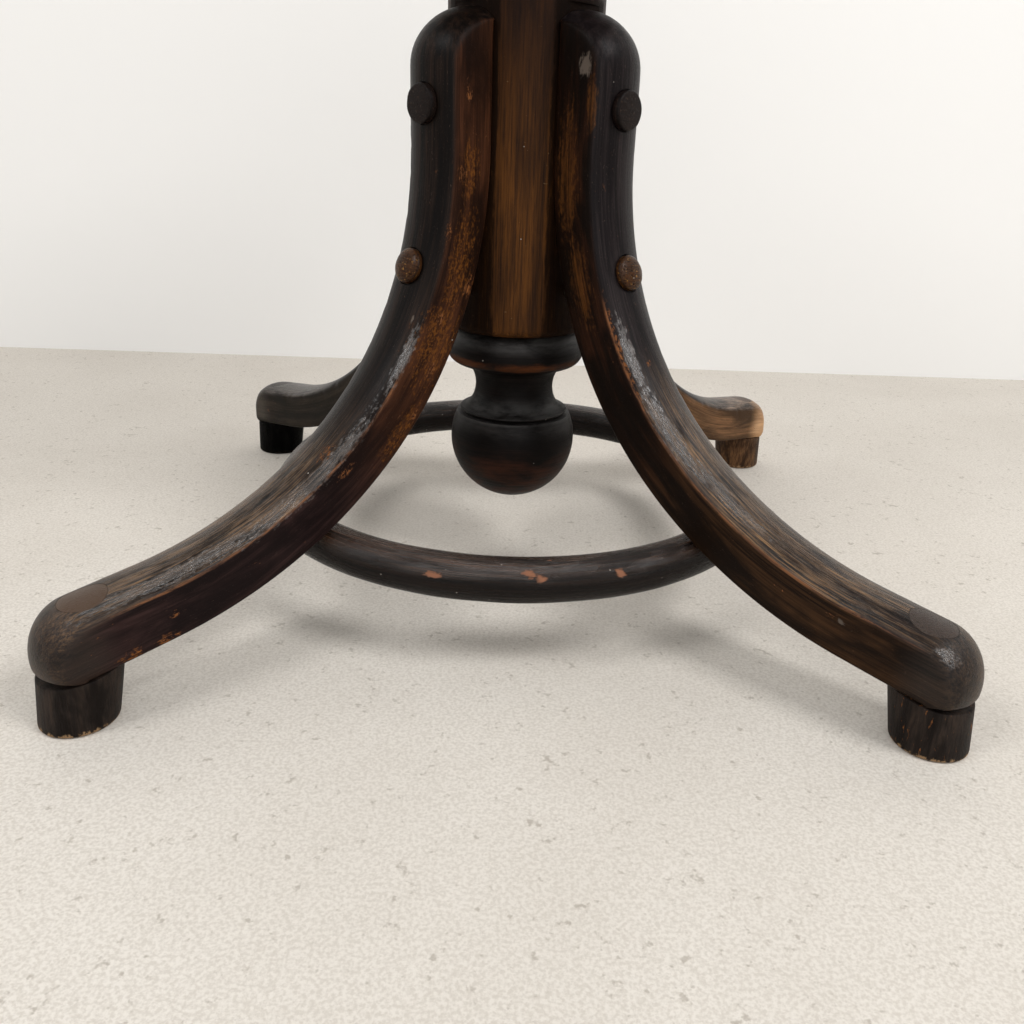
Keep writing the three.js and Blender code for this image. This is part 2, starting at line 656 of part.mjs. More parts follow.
function post() {
  const quirkZ = LEG_TOP_Z + QUIRK_ABOVE_LEG_TOPS;
  const beadZ = quirkZ + QUIRK_HEIGHT;
  const coveBottomZ = beadZ + BEAD_HEIGHT;
  const coveTopZ = POST_TOP_Z - CAPITAL_EDGE;
  const coveWidth = CAPITAL_R - POST_R;
  const footR = POST_R - POST_FOOT_ROUND;
  const footZ = POST_BOTTOM_Z + POST_FOOT_ROUND;
  const quirkR = POST_R - QUIRK_DEPTH;
  const edgeZ = POST_TOP_Z - CAPITAL_ROUND;
  const blank = solid(turned([
    [0, POST_BOTTOM_Z],
    ...arc(footR, footZ, POST_FOOT_ROUND, POST_FOOT_ROUND, -90, 0, 3),
    [POST_R, quirkZ - QUIRK_DEPTH],
    [quirkR, quirkZ],
    [quirkR, beadZ],
    ...arc(quirkR, beadZ + BEAD_HEIGHT / 2, QUIRK_DEPTH + BEAD_PROUD, BEAD_HEIGHT / 2, -60, 60, 4),
    [quirkR, coveBottomZ],
    ...arc(CAPITAL_R, coveBottomZ, coveWidth + QUIRK_DEPTH, coveTopZ - coveBottomZ, 180, 120, 3),
    [CAPITAL_R - CAPITAL_ROUND / 2, coveTopZ],
    [CAPITAL_R, coveTopZ + CAPITAL_ROUND / 2],
    ...arc(CAPITAL_R - CAPITAL_ROUND, edgeZ, CAPITAL_ROUND, CAPITAL_ROUND, 0, 90, 2),
    [0, POST_TOP_Z],
  ], POST_SEGMENTS));
  const axial = [
    rod(SPINDLE_BORE_R, TAIL_BOTTOM_Z - BORE_BELOW_TAIL, POST_TOP_Z + OVERRUN, BORE_SEGMENTS),
    rod(NUT_BARREL_R + GAP, NUT_BOTTOM_Z - GAP, POST_TOP_Z + OVERRUN, NUT_SEGMENTS),
    rod(TENON_R + GAP, POST_BOTTOM_Z - OVERRUN, POST_BOTTOM_Z + TENON_LENGTH, FINIAL_SEGMENTS),
  ];
  const perLeg = [housingCutter(), ...LEG_SCREWS.map(legScrewCutter)];
  const nutHole = onNutScrew(smallScrewHole(NUT_SCREW_LENGTH));
  return cutAll(blank, [
    ...axial,
    ...CORNERS.flatMap(({ azimuth }) => perLeg.map((cutter) => spun(cutter, azimuth))),
    ...SIDES.map(({ azimuth }) => spun(nutHole, azimuth)),
  ]);
}

/** The pendant finial, from the bottom of its ball to its tenon in the post. */
function finial() {
  const topZ = POST_BOTTOM_Z - GAP;
  const collarZ = topZ - COLLAR_TOP_HEIGHT;
  const neckTopZ = collarZ - COLLAR_UNDER_HEIGHT;
  const discZ = neckTopZ - NECK_HEIGHT;
  const ballTopDeg = BALL_TOP_DEG;
  const ballZ = discZ - DISC_HEIGHT - BALL_R * Math.sin(rad(ballTopDeg));
  const neckDepth = DISC_R - NECK_R;
  const collarSlopeDeg = 65;
  const collarDepth = (COLLAR_R - COLLAR_TOP_R) / (1 - Math.cos(rad(collarSlopeDeg)));
  return turned([
    ...arc(0, ballZ, BALL_R, BALL_R, -90, ballTopDeg, 9),
    [GROOVE_R, discZ - DISC_HEIGHT],
    [DISC_R, discZ - DISC_HEIGHT / 2],
    ...arc(DISC_R, discZ + NECK_HEIGHT / 2, neckDepth, NECK_HEIGHT / 2, 270, 90, 6),
    [COLLAR_UNDER_R, neckTopZ],
    ...arc(COLLAR_UNDER_R, collarZ, COLLAR_R - COLLAR_UNDER_R, COLLAR_UNDER_HEIGHT, -60, 0, 3),
    ...arc(
      COLLAR_R - collarDepth, collarZ, collarDepth, COLLAR_TOP_HEIGHT / Math.sin(rad(collarSlopeDeg)),
      0, collarSlopeDeg, 3,
    ).slice(1),
    [TENON_R, topZ],
    [TENON_R, topZ + TENON_LENGTH],
    [0, topZ + TENON_LENGTH],
  ], FINIAL_SEGMENTS);
}

// Nut, spindle and stop

/** Puts a shape made about Z on a nut screw's axis: z = 0 is the top of the nut's flange. */
function onNutScrew(geometry) {
  return geometry.translate(NUT_SCREW_CIRCLE_R, 0, NUT_TOP_Z);
}

function spindleNut() {
  const barrel = solid(rod(NUT_BARREL_R, NUT_BOTTOM_Z, POST_TOP_Z + 2 * GAP, NUT_SEGMENTS));
  const flange = solid(rod(NUT_FLANGE_R, POST_TOP_Z + GAP, NUT_TOP_Z, NUT_SEGMENTS));
  const bore = rod(SPINDLE_R + SPINDLE_CLEARANCE, NUT_BOTTOM_Z - OVERRUN, NUT_TOP_Z + OVERRUN, BORE_SEGMENTS);
  const screwHoles = SIDES.map(({ azimuth }) => spun(onNutScrew(smallScrewHole(NUT_SCREW_LENGTH)), azimuth));
  return cutAll(barrel.add(flange), [bore, ...screwHoles]);
}

const COLLAR_BOTTOM_Z = NUT_TOP_Z + GAP;
const PLATE_BOTTOM_Z = COLLAR_BOTTOM_Z + SPINDLE_COLLAR_HEIGHT + GAP;
const PLATE_TOP_Z = PLATE_BOTTOM_Z + PLATE_HEIGHT;

/** The spindle from its tail to the riveted head above the seat plate, plain where its thread runs. */
function spindle() {
  const blank = solid(turned([
    [0, TAIL_BOTTOM_Z],
    [TAIL_R, TAIL_BOTTOM_Z],
    [TAIL_R, THREAD_BOTTOM_Z],
    [SPINDLE_R, THREAD_BOTTOM_Z],
    [SPINDLE_R, COLLAR_BOTTOM_Z],
    [SPINDLE_COLLAR_R, COLLAR_BOTTOM_Z],
    [SPINDLE_COLLAR_R, PLATE_BOTTOM_Z - GAP],
    [RIVET_R, PLATE_BOTTOM_Z - GAP],
    [RIVET_R, PLATE_TOP_Z + GAP],
    [RIVET_R + RIVET_PROUD / 2, PLATE_TOP_Z + GAP],
    [RIVET_R, PLATE_TOP_Z + RIVET_PROUD],
    [0, PLATE_TOP_Z + RIVET_PROUD],
  ], BORE_SEGMENTS));
  return cutAll(blank, [stopPinRod(STOP_PIN_R + GAP, 2 * TAIL_R + 2 * OVERRUN)]);
}

/** A rod through the spindle's tail, along X. */
function stopPinRod(radius, length) {
  return rod(radius, -length / 2, length / 2, SCREW_SEGMENTS).rotateY(rad(90)).translate(0, 0, STOP_PIN_Z);
}

function stopWasher() {
  const inner = TAIL_R + GAP;
  const bottomZ = WASHER_TOP_Z - STOP_WASHER_HEIGHT;
  return turnedRing([
    [inner, bottomZ],
    [STOP_WASHER_R, bottomZ],
    [STOP_WASHER_R, WASHER_TOP_Z],
    [inner, WASHER_TOP_Z],
  ], BORE_SEGMENTS);
}

// Seat

const BATTEN_BOTTOM_Z = PLATE_TOP_Z + GAP;
const BATTEN_TOP_Z = BATTEN_BOTTOM_Z + BATTEN_HEIGHT;
const RIM_BOTTOM_Z = BATTEN_TOP_Z + GAP;
const RIM_TOP_Z = RIM_BOTTOM_Z + RIM_HEIGHT;
const RIM_INNER_R = SEAT_R - RIM_WIDTH;
const PANEL_R = RIM_INNER_R + PANEL_SEAT_WIDTH;
const BATTEN_REACH = SEAT_R - RIM_ROUND;
const RIM_SCREW_R = SEAT_R - RIM_WIDTH / 2;
const PLATE_SCREW_LENGTH = PLATE_HEIGHT + GAP + PLATE_SCREW_BITE;
const RIM_SCREW_LENGTH = BATTEN_HEIGHT + GAP + RIM_SCREW_BITE;

/** Puts a shape made about Z on a screw that points up, with its head's face at a height. */
function upward(geometry, radius, headZ) {
  return geometry.rotateX(rad(180)).translate(radius, 0, headZ);
}

const plateScrewHole = () => upward(smallScrewHole(PLATE_SCREW_LENGTH), PLATE_SCREW_CIRCLE_R, PLATE_BOTTOM_Z);
const rimScrewHole = () => upward(smallScrewHole(RIM_SCREW_LENGTH), RIM_SCREW_R, BATTEN_BOTTOM_Z);
const aroundSides = (geometry) => SIDES.map(({ azimuth }) => spun(geometry, azimuth));

function seatPlate() {
  const blank = solid(turnedRing([
    [RIVET_R + GAP, PLATE_BOTTOM_Z],
    [PLATE_R - PLATE_HEIGHT / 3, PLATE_BOTTOM_Z],
    [PLATE_R, PLATE_BOTTOM_Z + PLATE_HEIGHT / 3],
    [PLATE_R, PLATE_TOP_Z],
    [RIVET_R + GAP, PLATE_TOP_Z],
  ], POST_SEGMENTS));
  return cutAll(blank, aroundSides(plateScrewHole()));
}

/** A batten along X with tapered ends, before it is halved. */
function battenBlank() {
  const half = BATTEN_WIDTH / 2;
  const end = BATTEN_END_WIDTH / 2;
  const shape = new THREE.Shape();
  const corners = [
    [-BATTEN_REACH, -end],
    [-RIM_INNER_R, -half],
    [RIM_INNER_R, -half],
    [BATTEN_REACH, -end],
    [BATTEN_REACH, end],
    [RIM_INNER_R, half],
    [-RIM_INNER_R, half],
    [-BATTEN_REACH, end],
  ];
  corners.forEach(([x, y], i) => (i ? shape.lineTo(x, y) : shape.moveTo(x, y)));
  return new THREE.ExtrudeGeometry(shape, { depth: BATTEN_HEIGHT, bevelEnabled: false })
    .translate(0, 0, BATTEN_BOTTOM_Z);
}

/** One of the two battens, halved over the other at the middle and drilled for its screws and the rivet. */
function batten(isLower) {
  const notchWidth = BATTEN_WIDTH + 2 * GAP;
  const notchHeight = BATTEN_HEIGHT / 2 + GAP / 2 + OVERRUN;
  const notchZ = isLower
    ? BATTEN_TOP_Z + OVERRUN - notchHeight / 2
    : BATTEN_BOTTOM_Z - OVERRUN + notchHeight / 2;
  const notch = new THREE.BoxGeometry(notchWidth, notchWidth, notchHeight).translate(0, 0, notchZ);
  const rivetHole = rod(RIVET_HOLE_R, BATTEN_BOTTOM_Z - OVERRUN, PLATE_TOP_Z + RIVET_PROUD + GAP);
  const turn = isLower ? 0 : 90;
  const cutters = [rivetHole, notch, ...aroundSides(plateScrewHole()), ...aroundSides(rimScrewHole())];
  return cutAll(solid(spun(battenBlank(), turn)), cutters);
}

function seatRim() {
  const seatZ = RIM_TOP_Z - PANEL_THICKNESS - GAP;
  const blank = solid(turnedRing([
    [RIM_INNER_R, RIM_BOTTOM_Z],
    ...arc(SEAT_R - RIM_ROUND, RIM_BOTTOM_Z + RIM_ROUND, RIM_ROUND, RIM_ROUND, -90, 0, 3),
    ...arc(SEAT_R - RIM_ROUND, RIM_TOP_Z - RIM_ROUND, RIM_ROUND, RIM_ROUND, 0, 90, 3),
    [PANEL_R + GAP, RIM_TOP_Z],
    [PANEL_R + GAP, seatZ],
    [RIM_INNER_R, seatZ],
  ], SEAT_SEGMENTS));
  return cutAll(blank, aroundSides(rimScrewHole()));
}

/** The moulded seat panel: flat in the middle, rising to its edge in the rim's rebate. */
function seatPanel() {
  const dishR = RIM_INNER_R - PANEL_THICKNESS;
  const middleR = (PANEL_FLAT_R + dishR) / 2;
  const rise = [[PANEL_FLAT_R, 0], [middleR, PANEL_DISH / 2], [dishR, PANEL_DISH], [PANEL_R, PANEL_DISH]];
  const baseZ = RIM_TOP_Z - PANEL_DISH - PANEL_THICKNESS;
  return turned([
    [0, baseZ],
    ...rise.map(([r, up]) => [r, baseZ + up]),
    ...rise.map(([r, up]) => [r, baseZ + up + PANEL_THICKNESS]).reverse(),
    [0, baseZ + PANEL_THICKNESS],
  ], SEAT_SEGMENTS);
}

// Assembly

const stool = new THREE.Group();
stool.add(mesh('post', post(), POST_STAIN));
stool.add(mesh('pendant_finial', finial(), FINIAL_STAIN));
stool.add(mesh('ring_stretcher', ringStretcher(), RING_STAIN));

const legSolid = solid(legBlank());
const legMade = geometryOf(leg(legSolid));
const footMade = geometryOf(foot(legSolid));
for (const { place, azimuth } of CORNERS) {
  const corner = new THREE.Group();
  corner.rotation.z = rad(azimuth);
  corner.add(mesh(`leg_${place}`, legMade, LEG_STAIN));
  corner.add(mesh(`foot_${place}`, footMade, FOOT_STAIN));
  corner.add(mesh(`ring_screw_${place}`, onRingScrew(smallScrew(RING_SCREW_LENGTH)), STEEL));
  for (const at of LEG_SCREWS) {
    corner.add(mesh(`leg_screw_${at.level}_${place}`, legScrew(at), STEEL));
    corner.add(mesh(`leg_button_${at.level}_${place}`, button(at), BUTTON_STAIN));
  }
  stool.add(corner);
}

stool.add(mesh('spindle_nut', spindleNut(), IRON));
stool.add(mesh('spindle', spindle(), STEEL));
stool.add(mesh('stop_washer', stopWasher(), STEEL));
stool.add(mesh('stop_pin', stopPinRod(STOP_PIN_R, STOP_PIN_LENGTH), STEEL));
stool.add(mesh('seat_plate', seatPlate(), IRON));
stool.add(mesh('seat_batten_lower', batten(true), BARE_WOOD));
stool.add(mesh('seat_batten_upper', batten(false), BARE_WOOD));
stool.add(mesh('seat_rim', seatRim(), SEAT_STAIN));
stool.add(mesh('seat_panel', seatPanel(), SEAT_STAIN));

for (const { place, azimuth } of SIDES) {
  const side = new THREE.Group();
  side.rotation.z = rad(azimuth);
  side.add(mesh(`nut_screw_${place}`, onNutScrew(smallScrew(NUT_SCREW_LENGTH)), STEEL));
  const plateScrew = upward(smallScrew(PLATE_SCREW_LENGTH), PLATE_SCREW_CIRCLE_R, PLATE_BOTTOM_Z);
  side.add(mesh(`plate_screw_${place}`, plateScrew, STEEL));
  const rimScrew = upward(smallScrew(RIM_SCREW_LENGTH), RIM_SCREW_R, BATTEN_BOTTOM_Z);
  side.add(mesh(`rim_screw_${place}`, rimScrew, STEEL));
  stool.add(side);
}

export default stool;
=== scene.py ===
"""Looks of the revolving piano stool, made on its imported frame.

Sizes in the classes are millimetres, as in the part. Meshes are made in metres.
"""
import logging
import math
from dataclasses import dataclass, field
from enum import Enum
from typing import Callable, ClassVar, Iterable, Optional, Sequence, Union

import bmesh
import bpy
from mathutils import Matrix, Vector, bvhtree, kdtree, noise


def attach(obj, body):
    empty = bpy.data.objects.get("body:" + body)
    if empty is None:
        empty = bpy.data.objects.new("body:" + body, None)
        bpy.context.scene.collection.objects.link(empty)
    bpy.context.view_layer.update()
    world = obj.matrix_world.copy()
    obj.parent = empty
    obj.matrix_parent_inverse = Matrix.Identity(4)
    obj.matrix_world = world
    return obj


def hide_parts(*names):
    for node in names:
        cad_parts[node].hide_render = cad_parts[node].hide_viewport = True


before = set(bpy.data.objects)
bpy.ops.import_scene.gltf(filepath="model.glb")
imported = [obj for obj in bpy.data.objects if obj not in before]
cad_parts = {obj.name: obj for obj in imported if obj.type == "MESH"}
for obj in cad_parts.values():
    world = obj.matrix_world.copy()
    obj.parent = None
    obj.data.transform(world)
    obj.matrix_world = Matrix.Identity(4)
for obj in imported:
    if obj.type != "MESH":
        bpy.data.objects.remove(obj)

MM = 0.001
GAP = 0.3
LOG = logging.getLogger("stool")
SMOOTH = {"interpolation_type": "SMOOTHSTEP"}
Pair = tuple[float, float]
Triple = tuple[float, float, float]
Place = tuple[float, float, float, float, float]
Value = Union[bpy.types.Node, bpy.types.NodeSocket, float, str, Sequence[float]]
Surface = tuple[Value, Value, Value, Value]


class Corner(Enum):
    """The four legs, by the bearing of each one round the post."""

    FRONT_LEFT = 225
    FRONT_RIGHT = 315
    BACK_RIGHT = 45
    BACK_LEFT = 135

    @property
    def place(self) -> str:
        """The corner's word in the frame's node names."""
        return self.name.lower()

    @property
    def seen(self) -> int:
        """1 where the viewer sees the leg's side at positive y, and -1 where it is the other side."""
        return 1 if self.name.endswith("LEFT") else -1


class Side(Enum):
    """The four screws round the seat, by bearing."""

    RIGHT = 0
    BACK = 90
    LEFT = 180
    FRONT = 270

    @property
    def place(self) -> str:
        """The side's word in the frame's node names."""
        return self.name.lower()


# Meshes


def arc(centre: Pair, semi: Pair, start: float, end: float, steps: int) -> list[Pair]:
    """Points on an ellipse arc in the (r, z) plane.

    Args:
        centre: Its centre.
        semi: Its two half axes.
        start: The first angle in degrees, 0 outward and 90 up.
        end: The last angle in degrees.
        steps: How many chords it has.

    Returns:
        The points, both ends included.
    """
    turns = [math.radians(start + (end - start) * i / steps) for i in range(steps + 1)]
    return [(centre[0] + semi[0] * math.cos(a), centre[1] + semi[1] * math.sin(a)) for a in turns]


def spread(points: Sequence[Pair], step: float) -> list[Pair]:
    """Puts more points on the long chords of an outline.

    Args:
        points: The outline.
        step: The longest chord that is left.

    Returns:
        The outline with its own points and the new ones.
    """
    out = [points[0]]
    for a, b in zip(points, points[1:]):
        parts = max(1, math.ceil(math.dist(a, b) / step))
        out += [(a[0] + (b[0] - a[0]) * i / parts, a[1] + (b[1] - a[1]) * i / parts) for i in range(1, parts + 1)]
    return out


def new_object(name: str, data: bpy.types.ID) -> bpy.types.Object:
    """Links a mesh or a camera into the scene as an object at the origin."""
    made = bpy.data.objects.new(name, data)
    bpy.context.scene.collection.objects.link(made)
    return made


def loft(name: str, loops: Sequence[Sequence[Vector]], closed: bool = False) -> bpy.types.Object:
    """Makes a closed skin over loops of the same number of points.

    Args:
        name: The object's name.
        loops: The loops in millimetres, in order.
        closed: True where the last loop joins the first, as in a ring.

    Returns:
        The object, its faces pointing out.
    """
    body = bmesh.new()
    rows = [[body.verts.new(p * MM) for p in loop] for loop in loops]
    pairs = list(zip(rows, rows[1:])) + ([(rows[-1], rows[0])] if closed else [])
    for low, high in pairs:
        for i in range(len(low)):
            j = (i + 1) % len(low)
            body.faces.new((low[i], low[j], high[j], high[i]))
    if not closed:
        for row in (rows[0], rows[-1]):
            if (row[0].co - row[len(row) // 2].co).length > 1e-7:
                body.faces.new(row)
    bmesh.ops.remove_doubles(body, verts=body.verts, dist=2e-6)
    bmesh.ops.dissolve_degenerate(body, edges=body.edges, dist=1e-7)
    bmesh.ops.recalc_face_normals(body, faces=body.faces)
    mesh = bpy.data.meshes.new(name)
    body.to_mesh(mesh)
    body.free()
    return new_object(name, mesh)


def hoop(z: float, radius: Union[float, Callable[[float], float]], count: int) -> list[Vector]:
    """A level loop about Z.

    Args:
        z: Its height.
        radius: Its radius, or a function that gives it at an angle in radians.
        count: How many points it has.

    Returns:
        The points.
    """
    turns = [math.tau * i / count for i in range(count)]
    radii = [radius(a) if callable(radius) else radius for a in turns]
    return [Vector((r * math.cos(a), r * math.sin(a), z)) for r, a in zip(radii, turns)]


def lathe(name: str, outline: Sequence[Pair], segments: int, closed: bool = False) -> bpy.types.Object:
    """Turns an (r, z) outline about Z.

    Args:
        name: The object's name.
        outline: From axis to axis, or a closed outline off the axis.
        segments: Facets round the turn.
        closed: True for an outline off the axis.

    Returns:
        The turned object.
    """
    return loft(name, [hoop(z, r, segments) for r, z in outline], closed)


def rod(name: str, radius: float, bottom: float, top: float, segments: int = 32) -> bpy.types.Object:
    """A plain cylinder about Z between two heights."""
    return lathe(name, [(0, bottom), (radius, bottom), (radius, top), (0, top)], segments)


def block(name: str, low: Triple, high: Triple) -> bpy.types.Object:
    """A plain box between two corners."""
    (x0, y0, z0), (x1, y1, z1) = low, high
    return loft(name, [[Vector((x0, y0, z)), Vector((x1, y0, z)), Vector((x1, y1, z)), Vector((x0, y1, z))]
                       for z in (z0, z1)])


def moved(made: bpy.types.Object, matrix: Matrix) -> bpy.types.Object:
    """Moves a mesh by a matrix, in metres, and leaves its object at the origin."""
    made.data.transform(matrix)
    return made


def shifted(made: bpy.types.Object, r: float, z: float) -> bpy.types.Object:
    """Moves a shape made about Z to a radius at bearing 0 and a height, in millimetres."""
    return moved(made, Matrix.Translation(Vector((r, 0, z)) * MM))


def aimed(made: bpy.types.Object, direction: Vector, point: Vector) -> bpy.types.Object:
    """Turns a shape made about Z so that it points along a direction, from a point in millimetres."""
    turn = direction.to_track_quat("Z", "Y").to_matrix().to_4x4()
    return moved(made, Matrix.Translation(point * MM) @ turn)


def spun(made: bpy.types.Object, degrees: float) -> bpy.types.Object:
    """A copy of an object, its mesh turned about Z."""
    copy = new_object(made.name, made.data.copy())
    return moved(copy, Matrix.Rotation(math.radians(degrees), 4, "Z"))


def each_way(made: bpy.types.Object, places: Iterable[Enum]) -> list[bpy.types.Object]:
    """Copies of a tool at each place's bearing, in its stead."""
    copies = [spun(made, place.value) for place in places]
    drop(made)
    return copies


def drop(made: bpy.types.Object) -> None:
    """Deletes an object and its mesh."""
    mesh = made.data
    bpy.data.objects.remove(made)
    bpy.data.meshes.remove(mesh)


def baked(made: bpy.types.Object) -> bpy.types.Object:
    """Puts the result of an object's modifiers in its mesh and takes the modifiers off.

    Args:
        made: The object.

    Returns:
        The same object.
    """
    graph = bpy.context.evaluated_depsgraph_get()
    mesh = bpy.data.meshes.new_from_object(made.evaluated_get(graph))
    made.modifiers.clear()
    old = made.data
    made.data = mesh
    bpy.data.meshes.remove(old)
    return made


def carve(made: bpy.types.Object, tools: Sequence[bpy.types.Object]) -> bpy.types.Object:
    """Cuts tools out of a body exactly, and deletes the tools.

    Args:
        made: The body.
        tools: Closed shapes.

    Returns:
        The same body with its new mesh.
    """
    box = bpy.data.collections.new("tools")
    bpy.context.scene.collection.children.link(box)
    for tool in tools:
        box.objects.link(tool)
    cut = made.modifiers.new("carve", "BOOLEAN")
    cut.solver, cut.operation = "EXACT", "DIFFERENCE"
    if len(tools) == 1:
        cut.object = tools[0]
    else:
        cut.operand_type, cut.collection = "COLLECTION", box
    baked(made)
    for tool in tools:
        drop(tool)
    bpy.data.collections.remove(box)
    return made


def write(made: bpy.types.Object, name: str, found: Sequence[Union[float, Sequence[float]]]) -> None:
    """Writes an attribute, with a number or three numbers for each point of a mesh.

    Args:
        made: The object.
        name: The attribute's name.
        found: For each point a number or three numbers.
    """
    if isinstance(found[0], (int, float)):
        made.data.attributes.new(name, "FLOAT", "POINT").data.foreach_set("value", found)
    else:
        flat = [n for three in found for n in three]
        made.data.attributes.new(name, "FLOAT_VECTOR", "POINT").data.foreach_set("vector", flat)


def lay(made: bpy.types.Object, name: str,
        value: Callable[[Vector, Vector], Union[float, Sequence[float]]]) -> None:
    """Writes an attribute worked out from each point of a mesh.

    Args:
        made: The object.
        name: The attribute's name.
        value: Gives a number or three numbers from a point in millimetres and its normal.
    """
    write(made, name, [value(v.co / MM, v.normal) for v in made.data.vertices])


def face_out(made: bpy.types.Object) -> bpy.types.Object:
    """Merges a mesh's doubles and turns its faces outward.

    Args:
        made: The object.

    Returns:
        The same object.
    """
    body = bmesh.new()
    body.from_mesh(made.data)
    bmesh.ops.remove_doubles(body, verts=body.verts, dist=2e-6)
    bmesh.ops.recalc_face_normals(body, faces=body.faces)
    body.to_mesh(made.data)
    body.free()
    return made


def uneven(made: bpy.types.Object, depth: float, size: float, seed: float) -> bpy.types.Object:
    """Sinks a mesh's points a little by a slow noise, as hand work and wear leave them.

    Args:
        made: The object.
        depth: The most that a point sinks, in millimetres.
        size: The noise's size in millimetres.
        seed: Moves the noise.

    Returns:
        The same object.
    """
    for v in made.data.vertices:
        wave = noise.noise(v.co / (size * MM) + Vector((seed, 2 * seed, -seed)))
        v.co -= v.normal * depth * MM * (0.5 + 0.5 * wave)
    made.data.update()
    return made


def dress(made: bpy.types.Object, material: bpy.types.Material, body: str, nodes: Sequence[str],
          sharp: float = 40) -> bpy.types.Object:
    """Finishes a piece: its material, its shading, the body that it rides on and the nodes that it stands for.

    Args:
        made: The piece.
        material: Its material.
        body: The CAD body that carries it.
        nodes: The CAD nodes that it replaces.
        sharp: Edges over this angle in degrees stay sharp.

    Returns:
        The piece.
    """
    made.data.materials.clear()
    made.data.materials.append(material)
    made.data.polygons.foreach_set("use_smooth", [True] * len(made.data.polygons))
    made.data.set_sharp_from_angle(angle=math.radians(sharp))
    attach(made, body)
    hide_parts(*nodes)
    LOG.info("%s: %d faces, in place of %d nodes", made.name, len(made.data.polygons), len(nodes))
    return made


# Node trees


def linear(code: str) -> Triple:
    """The linear colour of an sRGB hex code."""
    parts = [int(code[i:i + 2], 16) / 255 for i in (1, 3, 5)]
    return tuple(c / 12.92 if c <= 0.04045 else ((c + 0.055) / 1.055) ** 2.4 for c in parts)


def add(tree: bpy.types.NodeTree, kind: str, inputs: Optional[dict] = None, **settings) -> bpy.types.Node:
    """Adds a node with its settings and links.

    Args:
        tree: The node tree.
        kind: The node's type.
        inputs: For each socket, by name or number, a value, a hex colour, or the node or socket that feeds it.
        settings: The node's own properties.

    Returns:
        The node.
    """
    node = tree.nodes.new(kind)
    for key, value in settings.items():
        setattr(node, key, value)
    for key, value in (inputs or {}).items():
        if isinstance(value, bpy.types.Node):
            value = value.outputs[0]
        if isinstance(value, bpy.types.NodeSocket):
            tree.links.new(value, node.inputs[key])
        elif isinstance(value, str):
            node.inputs[key].default_value = (*linear(value), 1)
        else:
            node.inputs[key].default_value = value
    return node


def stretched(tree: bpy.types.NodeTree, coords: Value, size: Pair, seed: float) -> bpy.types.Node:
    """Coordinates in which 1 is a length in millimetres along the grain, and another across it."""
    across = 1 / (size[1] * MM)
    return add(tree, "ShaderNodeMapping", {
        "Vector": coords, "Location": (seed, seed * 1.7, seed * 0.6), "Scale": (1 / (size[0] * MM), across, across)})


def streaks(tree: bpy.types.NodeTree, coords: Value, size: Pair, seed: float, span: Pair = (0.3, 0.7),
            detail: float = 4, rough: float = 0.55, bend: float = 0.0) -> bpy.types.Node:
    """Noise drawn out along the grain, kept between two levels.

    Args:
        tree: The node tree.
        coords: Metres along the grain, then the two ways across it.
        size: Millimetres along and across.
        seed: Moves the pattern, so that two of them differ.
        span: The noise that gives 0 and the noise that gives 1.
        detail: How many finer layers are added.
        rough: How strong they are.
        bend: How much the pattern wanders.

    Returns:
        A number from 0 to 1.
    """
    wool = add(tree, "ShaderNodeTexNoise", {
        "Vector": stretched(tree, coords, size, seed), "Scale": 1.0, "Detail": detail, "Roughness": rough,
        "Distortion": bend})
    return add(tree, "ShaderNodeMapRange", {0: wool, 1: span[0], 2: span[1]}, **SMOOTH)


def cracks(tree: bpy.types.NodeTree, coords: Value, size: Pair, seed: float, width: float) -> bpy.types.Node:
    """A net of cracks between drawn-out islands.

    Args:
        tree: The node tree.
        coords: Metres along the grain, then the two ways across it.
        size: An island's millimetres along and across.
        seed: Moves the pattern.
        width: A crack's width as a share of an island's.

    Returns:
        1 in the middle of a crack, and 0 on an island.
    """
    place = stretched(tree, coords, size, seed)
    wool = add(tree, "ShaderNodeTexNoise", {"Vector": place, "Scale": 0.8, "Detail": 3.0})
    bent = add(tree, "ShaderNodeVectorMath", {0: wool.outputs["Color"], 1: (1.4, 1.4, 1.4), 2: place},
               operation="MULTIPLY_ADD")
    cells = add(tree, "ShaderNodeTexVoronoi", {"Vector": bent, "Scale": 1.0}, feature="DISTANCE_TO_EDGE")
    return add(tree, "ShaderNodeMapRange", {0: cells.outputs["Distance"], 1: width, 2: 0.0}, **SMOOTH)


def within(tree: bpy.types.NodeTree, value: Value, start: float, end: float, soft: float) -> bpy.types.Node:
    """1 where a length is between two lengths, fading to 0 past them.

    Args:
        tree: The node tree.
        value: A length in metres.
        start: The first length in millimetres.
        end: The last length in millimetres.
        soft: How far each end fades, in millimetres.

    Returns:
        A number from 0 to 1.
    """
    ends = [add(tree, "ShaderNodeMapRange", {0: value, 1: (at - way) * MM, 2: (at + way) * MM}, **SMOOTH)
            for at, way in ((start, soft), (end, -soft))]
    return both(tree, *ends)


